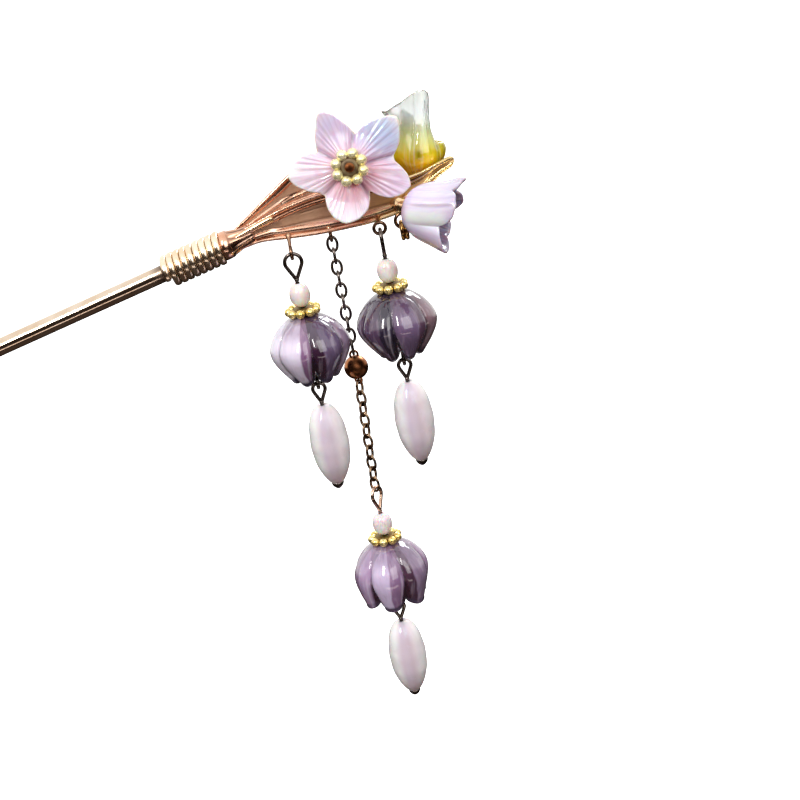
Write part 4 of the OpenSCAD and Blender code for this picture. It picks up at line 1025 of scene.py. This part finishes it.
# Layers: grey lilac on one side, a painted white highlight down the front, pinkish lilac to the right, a
# pinkish brown tip on the longest petal, and painted grey violet shade inside.
lavender_tint = glazed(lavender_tint,
    (stroke(way, share, 300, 30, 0.6, 0.1, 0.3) * (1 - inside), (208, 204, 222)),
    (stroke(way, share, 358, 15, 0.95, 0.15, 0.2, 0.98, 0.2) * (1 - inside), (255, 255, 255)),
    (stroke(way, share, 60, 22, 0.5, 0.4, 0.3) * (1 - inside), (218, 190, 226)),
    (stroke(way, share, 266, 22, 0.6, 0.85, 0.2), (190, 168, 182)),
    (inside * 0.75, (132, 120, 150)))
points = bent(points, LAVENDER_AT, aim_axes(LAVENDER_AIM), aim_axes(LAVENDER_END_AIM), LAVENDER_LEN)
piece("lavender_bell", [skin(points, loop=True, tint=lavender_tint, thin=ease((share - 0.4) / 0.6))],
    flower_glass("lavender_pearl_glass", 0.35, 0.1, 0.2), "root", "lavender_glass", "lavender_bell")
piece("lavender_pin", [flower_wire(LAVENDER_AT, LAVENDER_AIM)], gold_plate, "root", "gold", "lavender_pin")


# The binding loop: two turns of antique gold wire side by side, which hang in the wide lug.

BIND_WIRE_R = 0.3
BIND_TURN_R = 1.15
BIND_SIDE = 0.288
# How far from the middle of the lug's hole a turn's wire lies, to hang clear of the lug
BIND_ROOM = 0.35
bind_z = WIDE_LUG[2] - math.sqrt(BIND_ROOM ** 2 - BIND_SIDE ** 2) - BIND_TURN_R
bind_plate = plating("antique_gold", (206, 168, 108), (160, 118, 66), (48, 28, 10), 0.16, 0.2)
bind_turns = [hoop(HEAD + [WIDE_LUG[0] + side, 0, bind_z], BIND_TURN_R, BIND_WIRE_R, ACROSS,
    steps=56, columns=20, shade=0.0) for side in (-BIND_SIDE, BIND_SIDE)]
piece("binding_loop", bind_turns, bind_plate, "root", "dark_gold", "binding_loop")


# The chain: oval links bent from thin gunmetal wire, each turned a quarter against the last, with a
# stained copper ball on soldered eyes half way down. Plate makes the links' wire a little thicker than
# the bare wire of the model, and the lower run is bronze where the plate has worn.

LINK_LEN = 2.5
LINK_W = 1.7
LINK_WIRE_R = 0.175
LINK_PLATED_R = 0.21
LINK_PITCH = 1.7
LINK_STEP = 0.45
CHAIN_HANG = np.array([23.45, 2.35, 0.2])
CHAIN_TOP = CHAIN_HANG[2] - LINK_STEP / 2
BALL_DROP = 2.25
LINKS = 10
BALL_Z = CHAIN_TOP - LINKS * LINK_PITCH - BALL_DROP
BALL_R = 1.75
BALL_EYE_R = 0.55
LOWER_TURN = -35
LINK_DRIFT = 0.06


def links(top, turn, drift):
    """Run of oval links from a height down, a quarter turn between neighbours."""
    made = []
    for k in range(LINKS):
        way = math.radians(turn + 90 * k)
        middle = HEAD + [CHAIN_HANG[0] - drift * (k + 1), CHAIN_HANG[1], top - (k + 0.5) * LINK_PITCH]
        half_w, half_len = LINK_W / 2 - LINK_WIRE_R, LINK_LEN / 2 - LINK_WIRE_R
        made.append(hoop(middle, half_w, LINK_PLATED_R, (math.cos(way), math.sin(way), 0),
            oval=half_len / half_w, columns=14, steps=40, shade=0.05))
    return made


gun_plate = plating("gunmetal", (132, 122, 116), (92, 84, 80), (24, 20, 18), 0.14, 0.12)
bronze_plate = plating("worn_gunmetal", (172, 142, 112), (104, 84, 68), (34, 26, 18),
    0.16, 0.12)
piece("chain_upper", links(CHAIN_TOP, 0, 0), gun_plate, "root", "gunmetal", "chain_upper")
ball_at = HEAD + [CHAIN_HANG[0], CHAIN_HANG[1], BALL_Z]
low_across = (math.cos(math.radians(LOWER_TURN)), math.sin(math.radians(LOWER_TURN)), 0)
eye_rise = BALL_DROP + LINK_STEP / 2 - BALL_EYE_R
ball_way = circle(56)
ball_round = ball(ball_at, BALL_R, rows=40, columns=56)
ball_row = np.arange(40)[:, None]
ball_stain = np.sin(2 * ball_way + 0.16 * ball_row + 1.5 * np.sin(0.12 * ball_row))
ball_round["marks"]["shade"] = 0.42 + 0.42 * ball_stain
ball_plate = plating("ball_copper", (214, 144, 96), (160, 96, 58), (44, 18, 8), 0.13, 0.1)
piece("chain_ball", [ball_round,
    hoop(ball_at + eye_rise * UP, BALL_EYE_R, LINK_WIRE_R, RIGHTWARD, shade=0.2),
    hoop(ball_at - eye_rise * UP, BALL_EYE_R, LINK_WIRE_R, low_across, shade=0.2)],
    ball_plate, "root", "dark_copper", "chain_ball")
piece("chain_lower", links(BALL_Z - BALL_DROP, LOWER_TURN - 90, LINK_DRIFT), bronze_plate, "root",
    "gunmetal", "chain_lower")


# The eye pins of the three drops: gunmetal wire bent to a large teardrop loop, closed on itself with a
# small knot, run straight down through bead, spacer and bell, and turned to an eye under the bell.

WIRE_R = 0.275
LOOP_R = 1.175
LOOP_DROP = 3.725
EYE_R = 0.8
EYE_DROP = 18.849
DROPS = {"left": np.array([17.8, -1.7, -0.2]), "right": np.array([30.3, -1.7, 0.95]),
    "lower": np.array([22.85, 2.35, -38.2])}
LOOP_TURN = {"left": 0, "right": 90, "lower": 55}
KNOT_R = 0.344


def teardrop(hang, turn, radius, drop):
    """Loop of wire from its knot up one leg, over an arc and down the other; the legs touch the arc
    where its radius meets them squarely. The knot is a squashed bead of metal."""
    arm = drop - radius
    lean = math.asin(radius / arm)
    sweep = np.linspace(-lean, math.pi + lean, 42)
    arc_x, arc_z = radius * np.cos(sweep), radius * np.sin(sweep)
    leg = np.linspace(0.06, 0.96, 12)
    x = np.concatenate([arc_x[0] * leg, arc_x, arc_x[-1] * leg[::-1]])
    z = np.concatenate([-arm + (arc_z[0] + arm) * leg, arc_z,
        -arm + (arc_z[-1] + arm) * leg[::-1]]) - radius
    across = np.array([math.cos(turn), math.sin(turn), 0])
    path = HEAD + hang + x[:, None] * across + z[:, None] * UP
    return [wire(path, WIRE_R, np.cross(across, UP), 18, shade=0.05),
        ball(HEAD + hang - drop * UP, KNOT_R, UP, 12, 22, 0.95, shade=0.35)]


def pin_wire(hang, *drops):
    """Straight wire with four rings at these drops below hang, with painted shade darkest under the knot at
    its top.
    """
    return lathe(-np.array(drops), [WIRE_R] * 4, HEAD + hang, UP, 18, shade=[0.2, 0.5, 0.3, 0.2])


rose_plate = plating("worn_to_rose", (244, 208, 184), (176, 136, 112), (44, 28, 20), 0.16, 0.15)
for side, hang in DROPS.items():
    eye = hoop(HEAD + hang - EYE_DROP * UP, EYE_R, WIRE_R, ACROSS, columns=20, shade=0.05)
    loop = teardrop(hang, math.radians(LOOP_TURN[side]), LOOP_R, LOOP_DROP)
    pin_foot = EYE_DROP - EYE_R
    pin = pin_wire(hang, LOOP_DROP, LOOP_DROP + 0.3, pin_foot - 0.1, pin_foot)
    piece("eye_pin_" + side, loop + [pin, eye],
        rose_plate if side == "lower" else gun_plate, side + "_drop", "gunmetal", "eye_pin_" + side)


# The beads over the bells: milky pale pink glass, round and drilled; the lower one is pearly.

BEAD_R = 1.75
BEAD_WIDE_R = 1.45
BEAD_DROP = 5.879
BEAD_BORE_R = 0.375


def bead_glass(name, body, flush, pearly):
    """Milky glass: a slow drift of two tones under a gloss, lit through from behind."""
    made, shader = finish(name, {"Subsurface Weight": 0.6, "Subsurface Scale": 0.0016, "Roughness": 0.12,
        "IOR": 1.5, "Coat Weight": 1.0, "Coat Roughness": 0.03, "Sheen Weight": pearly})
    link(made, shader, Base_Color=mixed(made, drift(made, place_on(made), 500, 3, 0.8), body, flush))
    return made


pink_milk = bead_glass("pink_milk_glass", (252, 238, 234), (246, 222, 220), 0.0)
pearl_milk = bead_glass("pearly_bead", (248, 240, 240), (232, 214, 220), 0.2)
lean = np.linspace(math.asin(BEAD_BORE_R / BEAD_R), math.pi - math.asin(BEAD_BORE_R / BEAD_R), 30)
bead_s = np.concatenate([-BEAD_R * np.cos(lean), BEAD_R * np.cos(lean[0]) * np.linspace(0.96, -0.96, 5)])
bead_swell = np.clip(np.sin(np.linspace(0, np.pi, 30)), 0, 1) ** 0.8
bead_ring = np.concatenate([BEAD_BORE_R + (BEAD_WIDE_R - BEAD_BORE_R) * bead_swell,
    np.full(5, BEAD_BORE_R)])
for side, hang in DROPS.items():
    shape = lathe(bead_s, bead_ring, HEAD + hang - BEAD_DROP * UP, UP, 44)
    shape["loop"] = True
    piece("bead_" + side, [shape], pearl_milk if side == "lower" else pink_milk, side + "_drop",
        "pink_bead", "bead_" + side)


# The daisy spacers between bead and bell: nine cast balls on a web, the same pale gold plate.

SPACER_DROP = 8.139
for side, hang in DROPS.items():
    piece("spacer_" + side, daisy(hang - SPACER_DROP * UP, np.eye(3), 9, SPACER_RING_R, SPACER_BALL_R),
        gold_plate, side + "_drop", "gold", "spacer_" + side)


# The glass bells: lampwork flowers hung mouth down, each with six petals pressed as oval cushions of two
# tones, opaque glass swirled from lilac to plum. The two tones are partly the glass and partly painted
# light, a bright half and a shaded half; the dark valleys between the petals are painted shade, and the
# smoky curled tips are joined by painted shade inside.

BELL_DROP = 8.649
BELL_H = 9.85
BELL_R = 5.8
BELL_WALL = 1.1
BELL_LIP = 0.4
BELL_VALLEY = 0.15
BELL_NOTCH = 0.16
BELL_BORE_R = 0.375
BELL_WAYS = 420
BELL_LINE = np.array([[0, 0.12], [0.015, 0.24], [0.05, 0.41], [0.12, 0.60], [0.24, 0.80], [0.40, 0.95],
    [0.56, 1], [0.72, 1], [0.87, 0.99], [0.96, 0.97], [1, 1]])
# A petal's half width in degrees over the share of the height, from its round top to the rim
PETAL_HALF = np.array([[0.045, 0], [0.055, 7], [0.075, 14], [0.11, 20], [0.17, 25.5], [0.26, 29],
    [0.4, 29.7], [0.55, 28.6], [0.7, 25.5], [0.85, 21.5], [1, 18.5]])
# Each bell: turn of its petals, mouth as a share of its width, then a row for each petal, from the front
# one on towards the right: the tones of its left and right half, and where it changes over. The tones
# are partly the glass and partly painted light, the darkest of them painted shade beside the valleys.
BELLS = {
    "left": (-27, 0.52, [
        ((232, 220, 242), (140, 102, 140), 0.5), ((58, 32, 54), (102, 84, 114), -0.42),
        ((150, 128, 154), (128, 100, 130), 0.1), ((110, 84, 116), (150, 118, 150), 0.2),
        ((196, 176, 208), (140, 106, 142), 0.1), ((200, 176, 208), (236, 228, 246), -0.3)]),
    "right": (22, 0.47, [
        ((114, 92, 124), (92, 66, 88), 0.3), ((136, 108, 118), (120, 92, 106), 0.0),
        ((110, 84, 108), (140, 112, 136), 0.1), ((92, 70, 96), (120, 96, 122), 0.0),
        ((88, 64, 92), (74, 52, 78), 0.2), ((84, 62, 88), (44, 34, 54), 0.3)]),
    "lower": (-9, 0.8, [
        ((208, 190, 222), (142, 110, 146), 0.15), ((78, 52, 72), (142, 120, 148), -0.5),
        ((176, 148, 180), (140, 106, 140), 0.0), ((150, 116, 148), (190, 166, 200), 0.2),
        ((196, 174, 206), (150, 116, 150), -0.1), ((146, 118, 150), (178, 150, 186), 0.2)])}


def glass_bell(at, turn, mouth, petals):
    """A bell's wall over directions and shares of its height. Each of six petals is an oval cushion that
    stands out of the wall: with off the angle from its middle over its half width, its height is the
    root of 1 less off to the power 2.6. The wall narrows to the mouth and the rim rises between the
    petals. Rows run down the outside and up the inside. The marks keep the tint with its painted light,
    painted shade in the valleys, along the outlines and under the spacer, the smoky curled tips with
    painted shade inside, and a painted highlight along each petal's right edge."""
    way = np.arange(BELL_WAYS) * 360 / BELL_WAYS
    gap = (way + 30) % 60 - 30
    own = (np.floor((way + 30) / 60) % 6).astype(int)
    low = 1 - np.abs(np.cos(np.radians(3 * way))) ** 0.6
    outer = np.concatenate([[0], np.linspace(0.004, 0.06, 6), np.linspace(0.08, 0.3, 30),
        np.linspace(0.31, 0.965, 44), [0.978, 0.988, 0.995, 1.0]])
    inner = np.concatenate([[0.996, 0.989, 0.979], np.linspace(0.96, 0.13, 28), [0.1]])
    s = np.concatenate([outer, inner])[:, None]
    inside = np.concatenate([0 * outer, 0 * inner + 1])[:, None]
    off = np.abs(gap) / np.maximum(np.interp(s, PETAL_HALF[:, 0], PETAL_HALF[:, 1]), 0.01)
    cushion = np.sqrt(np.clip(1 - np.clip(off, 0, 1) ** 2.6, 0, 1))
    valley = BELL_VALLEY * ease((s + 0.02) / 0.4) * (1 - cushion)
    tip = 0.05 * ease((s - 0.85) / 0.15) * (1 - low)
    narrowed = 1 - (1 - mouth) * np.clip((s - 0.45) / 0.55, 0, 1) ** 1.6
    wide = BELL_R * flowing(s, BELL_LINE[:, 0], BELL_LINE[:, 1]) * narrowed
    bore = (wide - BELL_WALL * (1.25 - 0.45 * s)) * (1 - 0.9 * BELL_VALLEY * ease((s - 0.06) / 0.6) * low)
    bore = np.maximum(bore, BELL_BORE_R)
    wall = np.maximum(wide * (1 - valley + tip), bore + 0.25)
    lip = rounding((1 - s) * BELL_H / BELL_LIP)
    r = (bore + wall) / 2 + np.where(inside, -1, 1) * (wall - bore) / 2 * lip
    r[[0, -1]] = BELL_BORE_R
    z = -BELL_H * s * (1 - BELL_NOTCH * low * s * s)
    z = np.where(inside, np.minimum(z, -BELL_WALL), z)
    wander = 0.06 * np.sin(s * 6 + own * 2.1) + 0.02 * np.sin(s * 23 + own)
    change = np.array([petal[2] for petal in petals])[own] + wander
    # The two tones of a petal: partly the glass's swirl, partly painted light, a bright half and a shaded
    # half.
    left_tone, right_tone = (np.array([tone(*petal[k]) for petal in petals])[own] for k in (0, 1))
    blend = ease((gap / 26 - change) / 0.12 + 0.5)[..., None]
    tint = left_tone * (1 - blend) + right_tone * blend
    shoulder = (ease((0.34 - s) / 0.2) * 0.6)[..., None]
    tint = tint * (1 - shoulder) + (0.62 * right_tone + 0.1 * left_tone) * shoulder
    # Painted shade in the valleys along each petal's outline, and at the top under the spacer.
    dark = ease((off - 0.93) / 0.09) * (0.3 + 0.7 * ease((s - 0.3) / 0.3))
    dark = np.maximum(dark, ease((0.09 - s) / 0.04) * 0.35)
    # The smoky curled tips, and painted shade over the whole inside.
    curl = np.clip(ease((s - 0.87) / 0.07) + 0.75 * inside, 0, 1) * np.ones(BELL_WAYS)
    # A painted highlight along each petal's right edge.
    edge_highlight = np.exp(-((off - 0.8) / 0.06) ** 2) * ease((s - 0.3) / 0.2) * 0.35 * (gap > 0)
    return skin(HEAD + at + from_front(way + turn, r, z), loop=True, tint=tint, dark=dark, curl=curl,
        line=edge_highlight)


def lampwork(name, valley, smoke_and_shade):
    """Opaque glass: the tint on the points, drawn into streaks down the petals, darkened to valley by
    painted shade in the valleys, and by the curled-tip mark to a smoky tone at the curled tips and as
    painted shade inside, with a painted highlight as a thin pale line along each petal's right edge. It is
    glossy under a coat with a faint glow."""
    made, shader = finish(name, {"Subsurface Weight": 0.1, "Subsurface Scale": 0.001, "Roughness": 0.09,
        "IOR": 1.52, "Coat Weight": 1.0, "Coat Roughness": 0.02})
    tint = tinted(made)
    streaks = cloud(made, drawn_out(made, place_on(made, "UV"), 38, 4.5, 1), 1, 4, 0.6)
    colour = mixed(made, spread(made, streaks, 0, 0.35, 0.5, 0.66), tint, mixed(made, 0.5, tint, valley))
    colour = mixed(made, spread(made, streaks, 0.13, 0, 0.34, 0.46), colour, (236, 222, 240))
    colour = mixed(made, mark(made, "line"), colour, (236, 226, 242))
    colour = mixed(made, mark(made, "dark"), colour, valley)
    smoky = spread(made, cloud(made, place_on(made), 500, 3, 1.0), 0.5, 1.1, 0.35, 0.6)
    # Smoky curled tips, and painted shade inside, broken by clouds.
    tips = joined(made, mark(made, "curl"), smoky, clamp=True)
    colour = mixed(made, tips, colour, smoke_and_shade)
    link(made, shader, Base_Color=colour)
    return made


bell_paint = {"left": lampwork("plum_lampwork", (45, 22, 42), (58, 52, 76)),
    "right": lampwork("grey_plum_lampwork", (40, 32, 50), (50, 40, 58)),
    "lower": lampwork("lilac_lampwork", (62, 36, 54), (74, 62, 84))}
for side, hang in DROPS.items():
    piece("glass_bell_" + side, [glass_bell(hang - BELL_DROP * UP, *BELLS[side])], bell_paint[side],
        side + "_drop", "lilac_glass" if side == "lower" else "plum_glass", "glass_bell_" + side)


# The head pins under the bells, in gunmetal: a small teardrop loop in the eye, a straight wire through
# the pearl, and a small domed cap under it.

SMALL_LOOP_R = 0.875
SMALL_LOOP_DROP = 2.925
PEARL_HANG_DROP = 18.999
CAP_DROP = 34.82
# Columns: height over the cap's middle, radius, darkness, which is painted shade on the cap's underside
CAP_LINE = np.array([[0.64, 0.3, 0], [0.63, 0.78, 0], [0.56, 0.9, 0], [0.36, 0.9, 0], [0.14, 0.82, 0.1],
    [-0.08, 0.68, 0.4], [-0.27, 0.5, 0.7], [-0.42, 0.32, 0.8], [-0.5, 0.16, 0.8], [-0.54, 0.02, 0.8]])
for side, hang in DROPS.items():
    low = hang - PEARL_HANG_DROP * UP
    pin_foot = CAP_DROP - PEARL_HANG_DROP - 0.3
    pin = pin_wire(low, SMALL_LOOP_DROP, SMALL_LOOP_DROP + 0.4, pin_foot - 0.2, pin_foot)
    cap = lathe(CAP_LINE[:, 0], CAP_LINE[:, 1], HEAD + hang - CAP_DROP * UP, UP, 28, shade=CAP_LINE[:, 2])
    piece("head_pin_" + side, teardrop(low, 0, SMALL_LOOP_R, SMALL_LOOP_DROP) + [pin, cap], gun_plate,
        side + "_pearl", "gunmetal", "head_pin_" + side)


# The rice pearls: fresh-water nacre, pink at the foot, with a painted reflection that leaves them white
# at the sides with a mauve grey band down the front. Each is a blunt barrel, drilled through and slightly
# uneven.

PEARL_TOP_DROP = 22.33
PEARL_LEN = 12.0
# Columns: share of the length from the top, radius
PEARL_LINE = np.array([[0, 0.9], [0.018, 1.2], [0.055, 1.6], [0.12, 2.05], [0.2, 2.4], [0.32, 2.7],
    [0.45, 2.84], [0.58, 2.8], [0.70, 2.58], [0.80, 2.22], [0.88, 1.8], [0.94, 1.38], [0.98, 1.02],
    [1, 0.8]])
# Tones by direction from the front, in degrees towards the right: a painted reflection, a mauve grey
# band at the front and white at the sides
PEARL_TONES = [(-180, (246, 240, 246)), (-75, (255, 255, 255)), (-38, (254, 254, 255)),
    (-16, (222, 206, 222)), (12, (214, 198, 210)), (32, (244, 233, 238)), (56, (255, 251, 252)),
    (120, (250, 245, 248)), (180, (246, 240, 246))]


def nacre():
    """Nacre: the tint kept on the points, with its painted reflection, under soft clouds, a sheen, a thin
    film and a clear coat, and faint growth rings."""
    made, shader = finish("nacre", {"Subsurface Weight": 0.2, "Subsurface Scale": 0.0012,
        "Coat Weight": 0.7, "Coat Roughness": 0.1, "Thin Film Thickness": 330.0, "Thin Film IOR": 1.4,
        "Sheen Weight": 0.25, "Sheen Roughness": 0.4})
    place = place_on(made)
    tint = tinted(made)
    colour = mixed(made, spread(made, cloud(made, place, 300, 3, 0.5), 0, 0.45, 0.42, 0.66), tint,
        (222, 206, 216))
    rings = cloud(made, drawn_out(made, place, 0.12, 0.12, 1), 2200, 2)
    link(made, shader, Base_Color=colour, Roughness=spread(made, cloud(made, place, 900, 2), 0.2, 0.32),
        Normal=bumps(made, 0.12, 0.0001, rings))
    return made


nacre_coat = nacre()
pearl_s = np.concatenate([[0, 0.006, 0.012, 0.022, 0.035], np.linspace(0.055, 0.95, 52),
    [0.965, 0.975, 0.985, 0.993, 1]])
PEARL_WAYS = 72
pearl_way = np.degrees(circle(PEARL_WAYS))
facing = (pearl_way + 180) % 360 - 180
tone_ways, tone_colours = zip(*((way, tone(*colour)) for way, colour in PEARL_TONES))
# Painted reflection round each pearl: darker down the front, white at the sides.
around = np.stack([np.interp(facing, tone_ways, np.array(tone_colours)[:, k]) for k in range(3)], -1)
for k, (side, hang) in enumerate(DROPS.items()):
    radius = flowing(pearl_s, PEARL_LINE[:, 0], PEARL_LINE[:, 1])[:, None]
    swell = np.sin(np.pi * pearl_s)[:, None]
    flats, rings = 1 - np.cos(2 * np.radians(pearl_way) + k), 1 - np.cos(pearl_s[:, None] * 25 + k)
    grown = 1 - (0.012 * flats + 0.008 * rings) * swell
    bore = np.full((5, PEARL_WAYS), BEAD_BORE_R)
    r = np.vstack([bore[:1], radius * grown, bore])
    share = np.concatenate([[0], pearl_s, [1], np.linspace(0.9, 0.1, 4)])[:, None] + 0 * r
    points = from_front(pearl_way, r, -PEARL_LEN * share) + HEAD + hang - PEARL_TOP_DROP * UP
    pink = (ease((share - 0.72) / 0.28) * 0.7)[..., None]
    tint = around[None] * (1 - pink) + np.array(tone(226, 196, 200)) * pink
    piece("pearl_" + side, [skin(points, loop=True, tint=tint)], nacre_coat, side + "_pearl", "pearl",
        "pearl_" + side)
